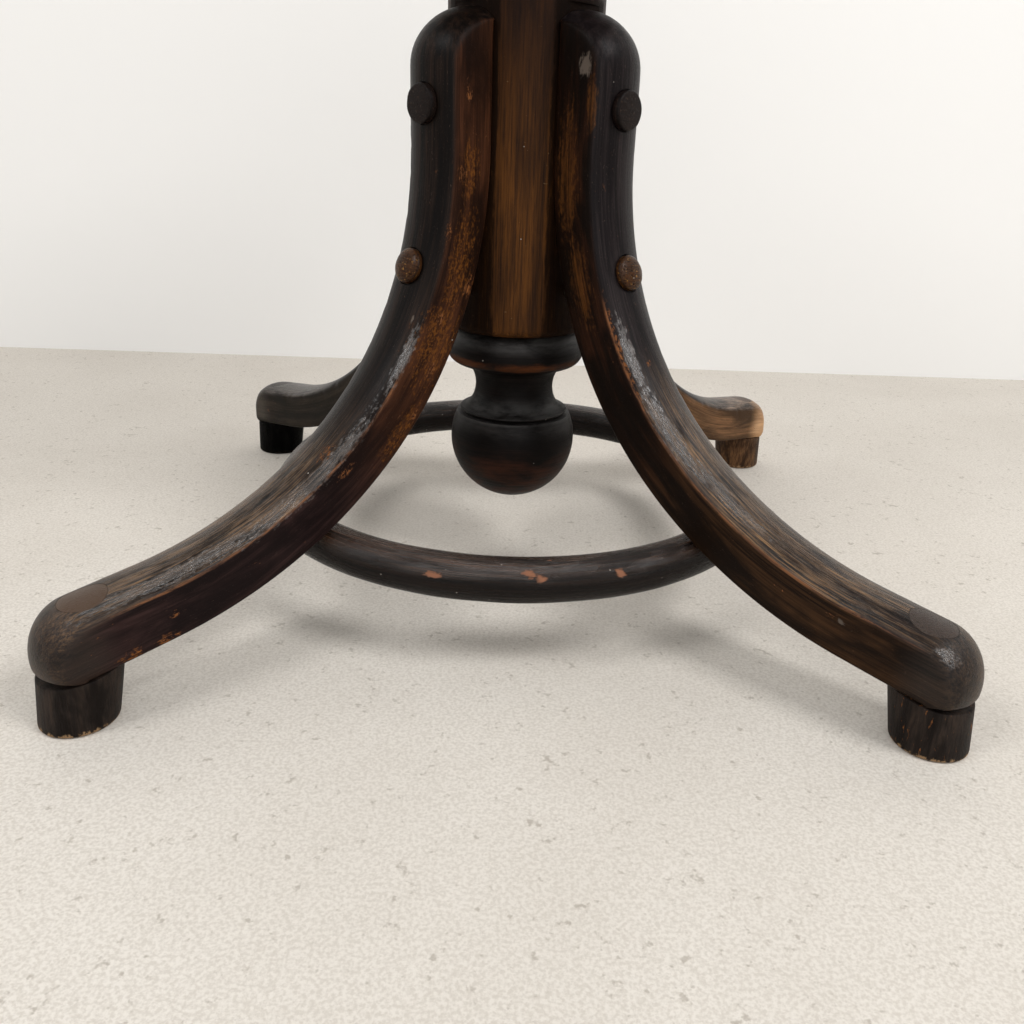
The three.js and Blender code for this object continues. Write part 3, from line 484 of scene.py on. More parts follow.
def spots(tree: bpy.types.NodeTree, coords: Value, places: Sequence[Place], seed: float) -> Value:
    """Ragged patches at given places.

    Args:
        tree: The node tree.
        coords: A point in metres, along the grain first.
        places: For each patch its middle, then its half length and half width, all in millimetres.
        seed: Moves the raggedness.

    Returns:
        1 in a patch and 0 outside all of them.
    """
    rim = streaks(tree, coords, (4, 1.6), seed, (0.25, 0.75), 5, 0.72)
    masks = []
    for *at, length, width in places:
        size = (length, width, width)
        own = add(tree, "ShaderNodeMapping", {
            "Vector": coords, "Location": [-a / n for a, n in zip(at, size)], "Scale": [1 / (n * MM) for n in size]})
        far = add(tree, "ShaderNodeVectorMath", {0: own}, operation="LENGTH").outputs["Value"]
        ragged = total(tree, (far, 1.0), (rim, 1.3))
        masks.append(add(tree, "ShaderNodeMapRange", {0: ragged, 1: 2.0, 2: 1.3}, **SMOOTH))
    return either(tree, *masks)


def both(tree: bpy.types.NodeTree, *masks: Value) -> Value:
    """The product of several masks, held between 0 and 1.

    Args:
        tree: The node tree.
        masks: Numbers from 0 to 1.

    Returns:
        Their product.
    """
    left = masks[0]
    for mask in masks[1:]:
        left = add(tree, "ShaderNodeMath", {0: left, 1: mask}, operation="MULTIPLY", use_clamp=True)
    return left


def either(tree: bpy.types.NodeTree, *masks: Value) -> Value:
    """The greatest of several masks.

    Args:
        tree: The node tree.
        masks: Numbers from 0 to 1.

    Returns:
        The greatest, or 0.
    """
    left: Value = 0.0
    for mask in masks:
        left = add(tree, "ShaderNodeMath", {0: left, 1: mask}, operation="MAXIMUM")
    return left


def total(tree: bpy.types.NodeTree, *parts: tuple[Value, float]) -> Value:
    """The sum of several values, each times its own number.

    Args:
        tree: The node tree.
        parts: Each value and its number.

    Returns:
        The sum.
    """
    left: Value = 0.0
    for value, times in parts:
        left = add(tree, "ShaderNodeMath", {0: value, 1: times, 2: left}, operation="MULTIPLY_ADD")
    return left


def coats(tree: bpy.types.NodeTree, ground: Value, *layers: tuple[Value, Value]) -> bpy.types.NodeSocket:
    """Lays colours over a ground, each where its mask says.

    Args:
        tree: The node tree.
        ground: The first colour.
        layers: For each coat, its mask and its colour.

    Returns:
        The colour of the whole.
    """
    left = ground
    for mask, colour in layers:
        left = add(tree, "ShaderNodeMix", {0: mask, 6: left, 7: colour}, data_type="RGBA").outputs[2]
    return left


def levels(tree: bpy.types.NodeTree, ground: float, *layers: tuple[Value, Value]) -> Value:
    """As coats, for a number such as roughness.

    Args:
        tree: The node tree.
        ground: The first number.
        layers: For each layer, its mask and its number.

    Returns:
        The number of the whole.
    """
    left: Value = ground
    for mask, value in layers:
        left = add(tree, "ShaderNodeMix", {0: mask, 2: left, 3: value})
    return left


def specks(tree: bpy.types.NodeTree, spacing: float, size: float, share: float, seed: float) -> Value:
    """Small round specks of dust and paint, scattered over the object's own space.

    Args:
        tree: The node tree.
        spacing: Millimetres between two places where a speck may be.
        size: A speck's width in millimetres, several times a real one's, so that it shows.
        share: How many of the places have one.
        seed: Moves the pattern.

    Returns:
        1 on a speck and 0 off it.
    """
    place = add(tree, "ShaderNodeTexCoord").outputs["Object"]
    cells = add(tree, "ShaderNodeTexVoronoi", {
        "Vector": stretched(tree, place, (spacing, spacing), seed), "Scale": 1.0})
    near = add(tree, "ShaderNodeMapRange", {
        0: cells.outputs["Distance"], 1: 0.7 * size / spacing, 2: 0.3 * size / spacing}, **SMOOTH)
    pick = add(tree, "ShaderNodeSeparateColor", {0: cells.outputs["Color"]})
    chosen = add(tree, "ShaderNodeMapRange", {0: pick, 1: share + 0.01, 2: share - 0.01}, **SMOOTH)
    return both(tree, near, chosen)


class Copies(Enum):
    """The ways in which a pattern piece is repeated by a node tree."""

    ABOUT_THE_POST = "copies about the post"
    ON_A_CIRCLE = "screws on a circle"


def through(made: bpy.types.Object, tree: bpy.types.NodeTree, values: dict[str, object]) -> bpy.types.Object:
    """Runs a node tree on an object with its named inputs set.

    Args:
        made: The object.
        tree: The geometry tree.
        values: Each input's name and value.

    Returns:
        The object, with the tree's result as its mesh.
    """
    work = made.modifiers.new("tree", "NODES")
    work.node_group = tree
    for item in tree.interface.items_tree:
        if item.item_type == "SOCKET" and item.in_out == "INPUT" and item.name in values:
            work[item.identifier] = values[item.name]
    return baked(made)


def new_tree(name: str, sockets: dict[str, str]) -> tuple[bpy.types.NodeTree, bpy.types.Node]:
    """A geometry tree with named inputs, the last of them its material.

    Args:
        name: The tree's name.
        sockets: Each input's name and the last word of its socket type.

    Returns:
        The tree and its Group Input.
    """
    tree = bpy.data.node_groups.new(name, "GeometryNodeTree")
    for label, kind in {"Geometry": "Geometry", **sockets, "Material": "Material"}.items():
        tree.interface.new_socket(label, in_out="INPUT", socket_type=f"NodeSocket{kind}")
    tree.interface.new_socket("Geometry", in_out="OUTPUT", socket_type="NodeSocketGeometry")
    return tree, add(tree, "NodeGroupInput")


def finished(tree: bpy.types.NodeTree, given: bpy.types.Node, shape: Value) -> bpy.types.NodeTree:
    """Makes a geometry tree's shape real, gives it the tree's material and sends it out.

    Args:
        tree: The tree.
        given: Its Group Input.
        shape: The last node that makes its shape.

    Returns:
        The same tree.
    """
    real = add(tree, "GeometryNodeRealizeInstances", {0: shape})
    add(tree, "NodeGroupOutput", {0: add(tree, "GeometryNodeSetMaterial", {
        0: real, "Material": given.outputs["Material"]})})
    return tree


def copies_about_post() -> bpy.types.NodeTree:
    """A tree that repeats a piece round the post, evenly, from a first bearing."""
    tree, given = new_tree(Copies.ABOUT_THE_POST.value, {"Count": "Int", "First Bearing": "Float"})
    points = add(tree, "GeometryNodeMeshLine", {"Count": given.outputs["Count"], "Offset": (0, 0, 0)})
    each = add(tree, "ShaderNodeMath", {0: math.tau, 1: given.outputs["Count"]}, operation="DIVIDE")
    index = add(tree, "GeometryNodeInputIndex")
    turn = add(tree, "ShaderNodeMath", {0: index, 1: each, 2: given.outputs["First Bearing"]},
               operation="MULTIPLY_ADD")
    rotation = add(tree, "FunctionNodeEulerToRotation", {0: add(tree, "ShaderNodeCombineXYZ", {"Z": turn})})
    return finished(tree, given, add(tree, "GeometryNodeInstanceOnPoints", {
        "Points": points, "Instance": given.outputs["Geometry"], "Rotation": rotation}))


def screws_on_circle() -> bpy.types.NodeTree:
    """A tree that sets a screw at even places on a circle, each turned by chance about its own axis."""
    tree, given = new_tree(Copies.ON_A_CIRCLE.value, {
        "Count": "Int", "Circle Radius": "Float", "Height": "Float", "Tilt": "Float", "Seed": "Int"})
    circle = add(tree, "GeometryNodeMeshCircle", {
        "Vertices": given.outputs["Count"], "Radius": given.outputs["Circle Radius"]})
    lift = add(tree, "ShaderNodeCombineXYZ", {"Z": given.outputs["Height"]})
    placed = add(tree, "GeometryNodeTransform", {"Geometry": circle, "Translation": lift})
    chance = add(tree, "FunctionNodeRandomValue", {2: 0.0, 3: math.tau, "Seed": given.outputs["Seed"]},
                 data_type="FLOAT")
    euler = add(tree, "ShaderNodeCombineXYZ", {"X": given.outputs["Tilt"], "Z": chance.outputs[1]})
    rotation = add(tree, "FunctionNodeEulerToRotation", {0: euler})
    return finished(tree, given, add(tree, "GeometryNodeInstanceOnPoints", {
        "Points": placed, "Instance": given.outputs["Geometry"], "Rotation": rotation}))


def bent_ring() -> bpy.types.NodeTree:
    """A tree that bends a round rod into a ring at a height, drawn in at its sides and out at front and back."""
    tree, given = new_tree("bent ring", {
        "Ring Radius": "Float", "Rod Radius": "Float", "Height": "Float", "Side Tuck": "Float",
        "Front Bulge": "Float"})
    path, profile = (add(tree, "GeometryNodeCurvePrimitiveCircle", {
        "Resolution": count, "Radius": given.outputs[size]}, mode="RADIUS")
        for count, size in ((220, "Ring Radius"), (32, "Rod Radius")))
    skin = add(tree, "GeometryNodeCurveToMesh", {0: path, 1: profile})
    split = add(tree, "ShaderNodeSeparateXYZ", {0: add(tree, "GeometryNodeInputPosition")})
    bearing = add(tree, "ShaderNodeMath", {0: split.outputs[1], 1: split.outputs[0]}, operation="ARCTAN2")
    twice = add(tree, "ShaderNodeMath", {0: bearing, 1: 2.0}, operation="MULTIPLY")
    share = add(tree, "ShaderNodeMath", {0: twice}, operation="COSINE")
    inward = add(tree, "ShaderNodeMath", {0: given.outputs["Side Tuck"], 1: -1.0}, operation="MULTIPLY")
    side = add(tree, "ShaderNodeMath", {0: share, 1: 0.0}, operation="GREATER_THAN")
    most = add(tree, "ShaderNodeMix", {0: side, 2: given.outputs["Front Bulge"], 3: inward})
    square = add(tree, "ShaderNodeMath", {0: share, 1: share}, operation="MULTIPLY")
    sway = add(tree, "ShaderNodeMath", {0: square, 1: most}, operation="MULTIPLY")
    flat = add(tree, "ShaderNodeCombineXYZ", {"X": split.outputs[0], "Y": split.outputs[1]})
    way = add(tree, "ShaderNodeVectorMath", {0: flat}, operation="NORMALIZE")
    shift = add(tree, "ShaderNodeVectorMath", {0: way, "Scale": sway}, operation="SCALE")
    drawn = add(tree, "GeometryNodeSetPosition", {0: skin, "Offset": shift})
    lift = add(tree, "ShaderNodeCombineXYZ", {"Z": given.outputs["Height"]})
    return finished(tree, given, add(tree, "GeometryNodeTransform", {"Geometry": drawn, "Translation": lift}))


# Finishes


@dataclass(frozen=True)
class Finish:
    """A surface: it is named for its real material and how it was made, and its seed moves its patterns."""

    grained: ClassVar[bool] = True
    metallic: ClassVar[float] = 0.0
    name: str
    seed: float

    def surface(self, tree: bpy.types.NodeTree, place: Value, edge: Value) -> Surface:
        """Lays the patterns.

        Args:
            tree: The node tree.
            place: Metres along the mesh's own grain and the two ways across it, or in the object's space.
            edge: How near a point is to an edge that wears, as its mesh says.

        Returns:
            The base colour, the roughness, the specular level (0.5 for a clear varnish and less for a dead
            surface) and the height in millimetres.
        """
        raise NotImplementedError

    def made(self) -> bpy.types.Material:
        """The finish as a material.

        Returns:
            The material.
        """
        material = bpy.data.materials.new(self.name)
        material.use_nodes = True
        tree = material.node_tree
        tree.nodes.clear()
        place = (add(tree, "ShaderNodeAttribute", attribute_name="grain").outputs["Vector"] if self.grained
                 else add(tree, "ShaderNodeTexCoord").outputs["Object"])
        edge = add(tree, "ShaderNodeAttribute", attribute_name="edge").outputs["Fac"]
        colour, rough, shine, relief = self.surface(tree, place, edge)
        bump = add(tree, "ShaderNodeBump", {"Height": relief, "Distance": MM, "Strength": 1.0})
        shader = add(tree, "ShaderNodeBsdfPrincipled", {
            "Base Color": colour, "Roughness": rough, "Metallic": self.metallic, "Specular IOR Level": shine,
            "Normal": bump})
        add(tree, "ShaderNodeOutputMaterial", {"Surface": shader})
        return material


@dataclass(frozen=True)
class Stain(Finish):
    """Stained and polished wood: fine long fibres, broader figure, darker pores and worn edges."""

    dark: str
    middle: str
    light: str
    bare: str
    fibre: Pair = (26, 0.9)
    figure: Pair = (120, 7)
    pore: Pair = (9, 0.5)
    pore_level: float = 0.62
    rough: Pair = (0.32, 0.5)
    shine: float = 0.3
    chip: Pair = (9, 4)
    chip_level: float = 0.74
    edge_level: float = 0.5
    relief: float = 0.1

    def surface(self, tree: bpy.types.NodeTree, place: Value, edge: Value) -> Surface:
        """As Finish.surface. The fibres give the wood its direction, and the chips and edges show its age."""
        figure = streaks(tree, place, self.figure, self.seed, (0.3, 0.7), 3, 0.5, 0.4)
        fibre = streaks(tree, place, self.fibre, self.seed + 3, (0.34, 0.68), 5, 0.65)
        pore = streaks(tree, place, self.pore, self.seed + 7, (self.pore_level, self.pore_level + 0.1), 2)
        chip = streaks(tree, place, self.chip, self.seed + 11, (self.chip_level, self.chip_level + 0.03), 5, 0.7, 0.6)
        ragged = streaks(tree, place, (14, 3), self.seed + 17, (0.3, 0.75), 5, 0.7)
        rubbed = add(tree, "ShaderNodeMapRange", {
            0: both(tree, edge, ragged), 1: self.edge_level - 0.1, 2: self.edge_level + 0.1}, **SMOOTH)
        colour = coats(tree, self.dark, (figure, self.middle), (both(tree, fibre, 0.75), self.light),
                       (both(tree, pore, 0.6), self.dark), (chip, self.bare), (rubbed, self.bare),
                       (both(tree, specks(tree, 7, 0.7, 0.1, self.seed), 0.8), "#b9aea2"))
        rough = levels(tree, self.rough[0], (figure, self.rough[1]), (chip, 0.7), (rubbed, 0.6))
        relief = total(tree, (fibre, self.relief), (pore, -0.8 * self.relief), (chip, -0.8 * self.relief))
        return colour, rough, self.shine, relief


@dataclass(frozen=True)
class LegFinish(Finish):
    """Bent beech under old black shellac.

    It is rubbed golden and flaked on the flanks, still shiny and crackled where it lies thick beside the arris,
    with pale fibres painted there as a highlight, and weathered to grey-brown ridges low on the crown. Each worn
    place is millimetres down the leg, across it toward the viewer and out of its back, then its half length and half
    width.
    """

    flank: tuple[str, str] = ("#170b06", "#3c2215")
    low_flank: tuple[str, str] = ("#120a08", "#33221e")
    crown: tuple[str, str] = ("#0b0807", "#261b15")
    weathered: tuple[str, str, str] = ("#0f0a07", "#3d2a1c", "#86643f")
    nose: tuple[str, str] = ("#0e0a09", "#35281f")
    gold: str = "#704319"
    fleck_share: float = 0.85
    bare: str = "#8f5930"
    golden: tuple[Place, ...] = ()
    flaked: tuple[Place, ...] = ()
    glossy: tuple[Place, ...] = ()
    pale: tuple[Place, ...] = ()
    arrises: tuple[Pair, ...] = ()
    weather_from: float = 300
    flake_level: float = 0.66

    def surface(self, tree: bpy.types.NodeTree, place: Value, edge: Value) -> Surface:
        """As Finish.surface. Satin near-black, with a golden flank, cracked gloss under a painted highlight and dry
        ridges where it has aged.
        """
        seed = 10 * self.seed
        painted = add(tree, "ShaderNodeAttribute", attribute_name="crown").outputs["Fac"]
        crown = add(tree, "ShaderNodeMapRange", {0: painted, 1: 0.2, 2: 0.8}, **SMOOTH)
        flank = total(tree, (crown, -1.0), (1.0, 1.0))
        split = add(tree, "ShaderNodeSeparateXYZ", {0: place})
        along, deep = split.outputs[0], split.outputs[2]
        fibre = streaks(tree, place, (34, 0.8), seed, (0.36, 0.64), 5, 0.68)
        broad = streaks(tree, place, (100, 3.4), seed + 1, (0.36, 0.64), 4, 0.55, 0.3)
        cloud = streaks(tree, place, (60, 13), seed + 2, (0.36, 0.64), 4, 0.6, 0.5)
        ridge = streaks(tree, place, (24, 0.8), seed + 3, (0.4, 0.6), 4, 0.7)
        flake = streaks(tree, place, (5, 2.4), seed + 4, (self.flake_level, self.flake_level + 0.03), 6, 0.72, 0.8)
        ragged = streaks(tree, place, (14, 2.2), seed + 5, (0.36, 0.62), 5, 0.72, 0.4)
        crackle = cracks(tree, place, (3.6, 0.6), seed + 6, 0.22)
        grit = streaks(tree, place, (1.6, 0.6), seed + 9, (0.3, 0.7), 3, 0.6)
        fleck = streaks(tree, place, (2.4, 1.2), seed + 8, (0.47, 0.58), 5, 0.75)
        scratch = streaks(tree, place, (2.6, 0.45), seed + 7, (0.66, 0.72), 3, 0.7, 2.0)
        dots = specks(tree, 8, 0.6, 0.14, seed)

        rims = either(tree, *[within(tree, along, *ends, 12) for ends in self.arrises])
        sharp = add(tree, "ShaderNodeMapRange", {0: edge, 1: 0.78, 2: 0.96}, **SMOOTH)
        arris = both(tree, sharp, ragged, rims)
        golden = both(tree, spots(tree, place, self.golden, seed + 20),
                      total(tree, (fibre, 1 - self.fleck_share), (fleck, self.fleck_share)))
        flaked = either(tree, both(tree, spots(tree, place, self.flaked, seed + 40), fleck),
                        both(tree, flake, flank, cloud), both(tree, flake, crown, 0.25))
        # Thick shiny shellac: real gloss and cracks, and also the places where a highlight is painted.
        glossy = both(tree, spots(tree, place, self.glossy, seed + 60), total(tree, (ragged, 0.45), (0.55, 1.0)))
        pale = spots(tree, place, self.pale, seed + 80)
        weather = both(tree, crown, within(tree, along, self.weather_from, 378, 45),
                       total(tree, (ragged, 0.5), (cloud, 0.9)))
        nose = add(tree, "ShaderNodeMapRange", {0: along, 1: 0.368, 2: 0.386}, **SMOOTH)
        low = add(tree, "ShaderNodeMapRange", {0: along, 1: 0.19, 2: 0.27}, **SMOOTH)
        beside_post = add(tree, "ShaderNodeMapRange", {0: deep, 1: 0.006, 2: 0.0}, **SMOOTH)

        wood = both(tree, total(tree, (fibre, 0.6), (broad, 0.7)), cloud)
        side = coats(tree, coats(tree, self.flank[0], (wood, self.flank[1])),
                     (low, coats(tree, self.low_flank[0], (wood, self.low_flank[1]))))
        top = coats(tree, self.crown[0], (both(tree, broad, total(tree, (fibre, 0.8), (cloud, 0.4))), self.crown[1]))
        tip = coats(tree, self.nose[0], (total(tree, (fibre, 0.5), (cloud, 0.6)), self.nose[1]))
        dry = coats(tree, self.weathered[0], (ridge, self.weathered[1]), (both(tree, ridge, fibre), self.weathered[2]))
        bare = coats(tree, "#4c2b14", (fibre, self.bare))
        # The pale fibres over the gloss band (#806f62) are a painted highlight.
        colour = coats(tree, side, (crown, top), (nose, tip), (weather, dry), (both(tree, golden, 0.75), self.gold),
                       (both(tree, glossy, fibre, 0.4), "#806f62"), (both(tree, crackle, glossy, 0.7), "#060404"),
                       (flaked, bare), (arris, bare),
                       (pale, "#5a5048"), (both(tree, scratch, total(tree, (crown, 0.2), (0.2, 1.0))), "#86705f"),
                       (both(tree, dots, 0.85), "#c5bcb2"))
        rough = levels(tree, 0.42, (crown, 0.34), (cloud, 0.44), (weather, 0.3), (golden, 0.5), (glossy, 0.22),
                       (flaked, 0.7), (arris, 0.6), (pale, 0.8))
        shine = levels(tree, 0.07, (crown, 0.09), (nose, 0.2), (weather, 0.45), (glossy, 1.0), (flaked, 0.15),
                       (arris, 0.3), (beside_post, 0.06))
        relief = total(tree, (fibre, 0.03), (broad, 0.03), (both(tree, weather, ridge), 0.13),
                       (both(tree, weather, grit), 0.05),
                       (both(tree, glossy, crackle), -0.05), (both(tree, glossy, fibre), 0.05), (flaked, -0.12),
                       (pale, -0.2), (scratch, -0.06), (both(tree, nose, grit), 0.06))
        return colour, rough, shine, relief


@dataclass(frozen=True)
class FootFinish(Finish):
    """Turned beech, blackened: scuffed in upright streaks, worn pale round the sole, its dowel as dark as the leg."""

    dark: str = "#120c09"
    light: str = "#2e221a"
    worn: str = "#8f7355"
    plug: str = "#2a1f19"
    scuff_level: float = 0.7
    scuff: str = "#6e4a2e"
    shine: float = 0.2

    def surface(self, tree: bpy.types.NodeTree, place: Value, edge: Value) -> Surface:
        """As Finish.surface. The upright streaks follow the foot's grain, and the pale rim is where it drags."""
        fibre = streaks(tree, place, (16, 0.9), self.seed, (0.38, 0.62), 5, 0.7)
        cloud = streaks(tree, place, (26, 7), self.seed + 2, (0.35, 0.65), 4, 0.6, 0.3)
        scuff = streaks(tree, place, (8, 1.7), self.seed + 4, (self.scuff_level, self.scuff_level + 0.04), 5, 0.7)
        ragged = streaks(tree, place, (5, 2.4), self.seed + 6, (0.3, 0.7), 5, 0.7)
        plug = add(tree, "ShaderNodeAttribute", attribute_name="crown").outputs["Fac"]
        worn = add(tree, "ShaderNodeMapRange", {0: both(tree, edge, ragged), 1: 0.3, 2: 0.5}, **SMOOTH)
        off = both(tree, scuff, total(tree, (plug, -1.0), (1.0, 1.0)))
        colour = coats(tree, self.dark, (both(tree, total(tree, (fibre, 0.7), (cloud, 0.4)), cloud), self.light),
                       (off, self.scuff), (worn, self.worn),
                       (plug, coats(tree, self.plug, (both(tree, fibre, 0.4), "#4d3a2d"))),
                       (both(tree, specks(tree, 6, 0.6, 0.1, self.seed), 0.8), "#c5bcb2"))
        rough = levels(tree, 0.5, (cloud, 0.62), (off, 0.75), (worn, 0.75), (plug, 0.4))
        shine = levels(tree, 0.5 * self.shine, (cloud, self.shine), (plug, 0.3))
        return colour, rough, shine, total(tree, (fibre, 0.09), (off, -0.12), (worn, -0.1))


@dataclass(frozen=True)
class RingFinish(Finish):
    """A bent beech ring, ebonised: its upper side rubbed brown and shiny, with chips down to the wood."""

    chips: tuple[Place, ...]
    dark: str = "#0c0908"
    rubbed: str = "#4a3120"
    bare: str = "#8c5f47"

    def surface(self, tree: bpy.types.NodeTree, place: Value, edge: Value) -> Surface:
        """As Finish.surface. The rub follows the top of the rod, where heels have rested."""
        height = add(tree, "ShaderNodeSeparateXYZ", {0: place}).outputs[2]
        up = add(tree, "ShaderNodeMapRange", {0: height, 1: 0.001, 2: 0.010}, **SMOOTH)
        fibre = streaks(tree, place, (40, 0.9), self.seed, (0.36, 0.64), 5, 0.66)
        cloud = streaks(tree, place, (34, 6), self.seed + 2, (0.38, 0.62), 5, 0.62, 0.4)
        nick = streaks(tree, place, (5, 1.5), self.seed + 4, (0.68, 0.71), 5, 0.7, 0.5)
        ripple = streaks(tree, place, (4, 1.2), self.seed + 6, (0.3, 0.7), 5, 0.75)
        chips = either(tree, both(tree, nick, up), spots(tree, place, self.chips, self.seed + 10))
        rub = both(tree, up, total(tree, (cloud, 0.8), (0.2, 1.0)), fibre)
        colour = coats(tree, self.dark, (both(tree, fibre, 0.5), "#251a14"), (rub, self.rubbed), (chips, self.bare),
                       (both(tree, specks(tree, 5, 0.5, 0.4, self.seed), 0.85), "#cfc7be"))
        rough = levels(tree, 0.3, (cloud, 0.18), (rub, 0.3), (chips, 0.65))
        shine = levels(tree, 0.12, (up, 0.35), (both(tree, up, cloud), 0.9), (chips, 0.2))
        return colour, rough, shine, total(tree, (fibre, 0.06), (ripple, 0.2), (chips, -0.15))


@dataclass(frozen=True)
class PostFinish(Finish):
    """A turned beech post, stained brown and rubbed golden between the legs; darker upward as painted shade under the
    seat, and darker beside the legs as dirt and painted shade.
    """

    dark: str = "#160904"
    middle: str = "#2e1808"
    light: str = "#6b4117"
    deep: str = "#0e0704"
    top: float = 330.0
    bottom: float = 190.0

    def surface(self, tree: bpy.types.NodeTree, place: Value, edge: Value) -> Surface:
        """As Finish.surface. Fine upright fibres show through the thin stain, and beside the legs a darkening paints
        both dirt and shade.
        """
        height = add(tree, "ShaderNodeSeparateXYZ", {0: place}).outputs[0]
        fibre = streaks(tree, place, (12, 0.5), self.seed, (0.36, 0.64), 5, 0.7)
        line = streaks(tree, place, (34, 0.9), self.seed + 2, (0.34, 0.66), 5, 0.72)
        cloud = streaks(tree, place, (60, 10), self.seed + 4, (0.35, 0.65), 4, 0.6, 0.3)
        ragged = streaks(tree, place, (20, 3), self.seed + 6, (0.3, 0.7), 5, 0.7)
        nick = streaks(tree, place, (1.4, 3.4), self.seed + 8, (0.7, 0.74), 4, 0.7, 0.8)
        # The golden coat fades out between 190 and 330 mm up, so the post darkens toward its top: painted shade under
        # the seat.
        low = add(tree, "ShaderNodeMapRange", {0: height, 1: self.top * MM, 2: self.bottom * MM}, **SMOOTH)
        # Beside the legs the post is darkened: dirt, and painted shade where the legs close it in.
        beside = total(tree, (edge, 1.0), (ragged, 0.4))
        dirt_and_shade = add(tree, "ShaderNodeMapRange", {0: beside, 1: 0.75, 2: 1.15}, **SMOOTH)
        light = both(tree, total(tree, (fibre, 0.5), (line, 0.6)), total(tree, (cloud, 0.6), (low, 0.4)), low)
        colour = coats(tree, self.dark, (total(tree, (line, 0.4), (cloud, 0.5)), self.middle), (light, self.light),
                       (both(tree, fibre, 0.35), self.deep), (both(tree, dirt_and_shade, 0.85), self.deep),
                       (both(tree, nick, low, 0.7), "#b99a72"),
                       (both(tree, specks(tree, 6, 0.6, 0.16, self.seed), 0.85), "#c5bcb2"))
        rough = levels(tree, 0.42, (line, 0.5), (dirt_and_shade, 0.6))
        return colour, rough, levels(tree, 0.09, (dirt_and_shade, 0.05)), total(tree, (fibre, 0.03), (nick, -0.08))


@dataclass(frozen=True)
class FinialFinish(Finish):
    """A turned beech finial, ebonised: lathe lines round it, a warm rubbed band, and a grey on what faces up that
    paints both dust and a sheen.
    """

    ball: float
    dark: str = "#0c0908"
    dust_and_sheen: str = "#3a3836"
    warm: str = "#5f3418"
    brown: str = "#3b2014"

    def surface(self, tree: bpy.types.NodeTree, place: Value, edge: Value) -> Surface:
        """As Finish.surface. The lines run round, as the turning tool left them."""
        line = streaks(tree, place, (60, 0.7), self.seed, (0.36, 0.64), 4, 0.65)
        cloud = streaks(tree, place, (24, 9), self.seed + 2, (0.35, 0.65), 5, 0.6, 0.4)
        ragged = streaks(tree, place, (12, 3), self.seed + 4, (0.3, 0.7), 5, 0.7)
        # The dust attribute is how far a point faces up; the grey laid there is real dust together with a painted
        # sheen.
        upward = add(tree, "ShaderNodeAttribute", attribute_name="dust").outputs["Fac"]
        dust = both(tree, upward, total(tree, (ragged, 0.5), (cloud, 0.6)))
        warm = add(tree, "ShaderNodeMapRange", {0: total(tree, (edge, 1.0), (ragged, 0.4)), 1: 0.6, 2: 1.1}, **SMOOTH)
        height = add(tree, "ShaderNodeSeparateXYZ", {0: place}).outputs[1]
        low = add(tree, "ShaderNodeMapRange", {
            0: height, 1: (self.ball + 4) * MM, 2: (self.ball - 12) * MM}, **SMOOTH)
        red = both(tree, low, cloud, total(tree, (line, 0.5), (0.5, 1.0)))
        colour = coats(tree, self.dark, (both(tree, line, cloud, 0.6), "#1d1613"), (red, self.brown),
                       (both(tree, dust, 0.8), self.dust_and_sheen), (both(tree, warm, cloud, 0.7), self.warm),
                       (both(tree, specks(tree, 6, 0.55, 0.16, self.seed), 0.85), "#c5bcb2"))
        rough = levels(tree, 0.42, (cloud, 0.5), (dust, 0.6))
        return colour, rough, levels(tree, 0.08, (dust, 0.42)), total(tree, (line, 0.05), (cloud, 0.04))


@dataclass(frozen=True)
class ButtonFinish(Finish):
    """A turned beech button: ebonised, or rubbed to bronze brown and pitted."""

    dark: str
    light: str
    speckle: str
    pits: float
    shine: float

    def surface(self, tree: bpy.types.NodeTree, place: Value, edge: Value) -> Surface:
        """As Finish.surface. The pits and lighter speckles lie all over, and the rim is painted dark as shade, for the
        shadow ring round the button.
        """
        fibre = streaks(tree, place, (6, 0.7), self.seed, (0.35, 0.65), 4, 0.65)
        pit = streaks(tree, place, (1.3, 1.1), self.seed + 2, (0.56, 0.68), 3, 0.6)
        speckle = streaks(tree, place, (1.7, 1.2), self.seed + 4, (0.58, 0.7), 4, 0.65)
        # Painted shade: the rim is darkened for the shadow ring round the button.
        rim = add(tree, "ShaderNodeMapRange", {0: edge, 1: 0.5, 2: 1.0}, **SMOOTH)
        colour = coats(tree, self.dark, (total(tree, (fibre, 0.6), (0.3, 1.0)), self.light),
                       (both(tree, speckle, 0.7), self.speckle), (both(tree, pit, 0.8), self.dark),
                       (both(tree, rim, 0.9), "#0d0807"),
                       (both(tree, specks(tree, 5, 0.5, 0.14, self.seed), 0.8), "#c5bcb2"))
        return (colour, levels(tree, 0.3, (pit, 0.5), (rim, 0.5)), levels(tree, self.shine, (pit, 0.05)),
                total(tree, (pit, -self.pits), (speckle, 0.3 * self.pits), (fibre, 0.03)))


@dataclass(frozen=True)
class Iron(Finish):
    """Cast or forged iron and steel: a fine pitted skin, oily dark patches and rubbed edges."""

    grained: ClassVar[bool] = False
    metallic: ClassVar[float] = 1.0
    base: str
    patch: str
    rubbed: str
    rough: Pair
    grit: float
    relief: float

    def surface(self, tree: bpy.types.NodeTree, place: Value, edge: Value) -> Surface:
        """As Finish.surface. The pits break up the shine, as a cast or turned skin does."""
        grit = streaks(tree, place, (self.grit, self.grit), self.seed, (0.3, 0.7), 4, 0.6)
        patch = streaks(tree, place, (18, 18), self.seed + 5, (0.45, 0.6), 5, 0.65, 0.5)
        ragged = streaks(tree, place, (4, 4), self.seed + 9, (0.3, 0.6), 4, 0.6)
        worn = both(tree, edge, ragged)
        colour = coats(tree, self.base, (both(tree, patch, 0.8), self.patch), (worn, self.rubbed))
        rough = levels(tree, self.rough[0], (patch, self.rough[1]), (worn, 0.3))
        return colour, rough, 0.5, total(tree, (grit, self.relief))


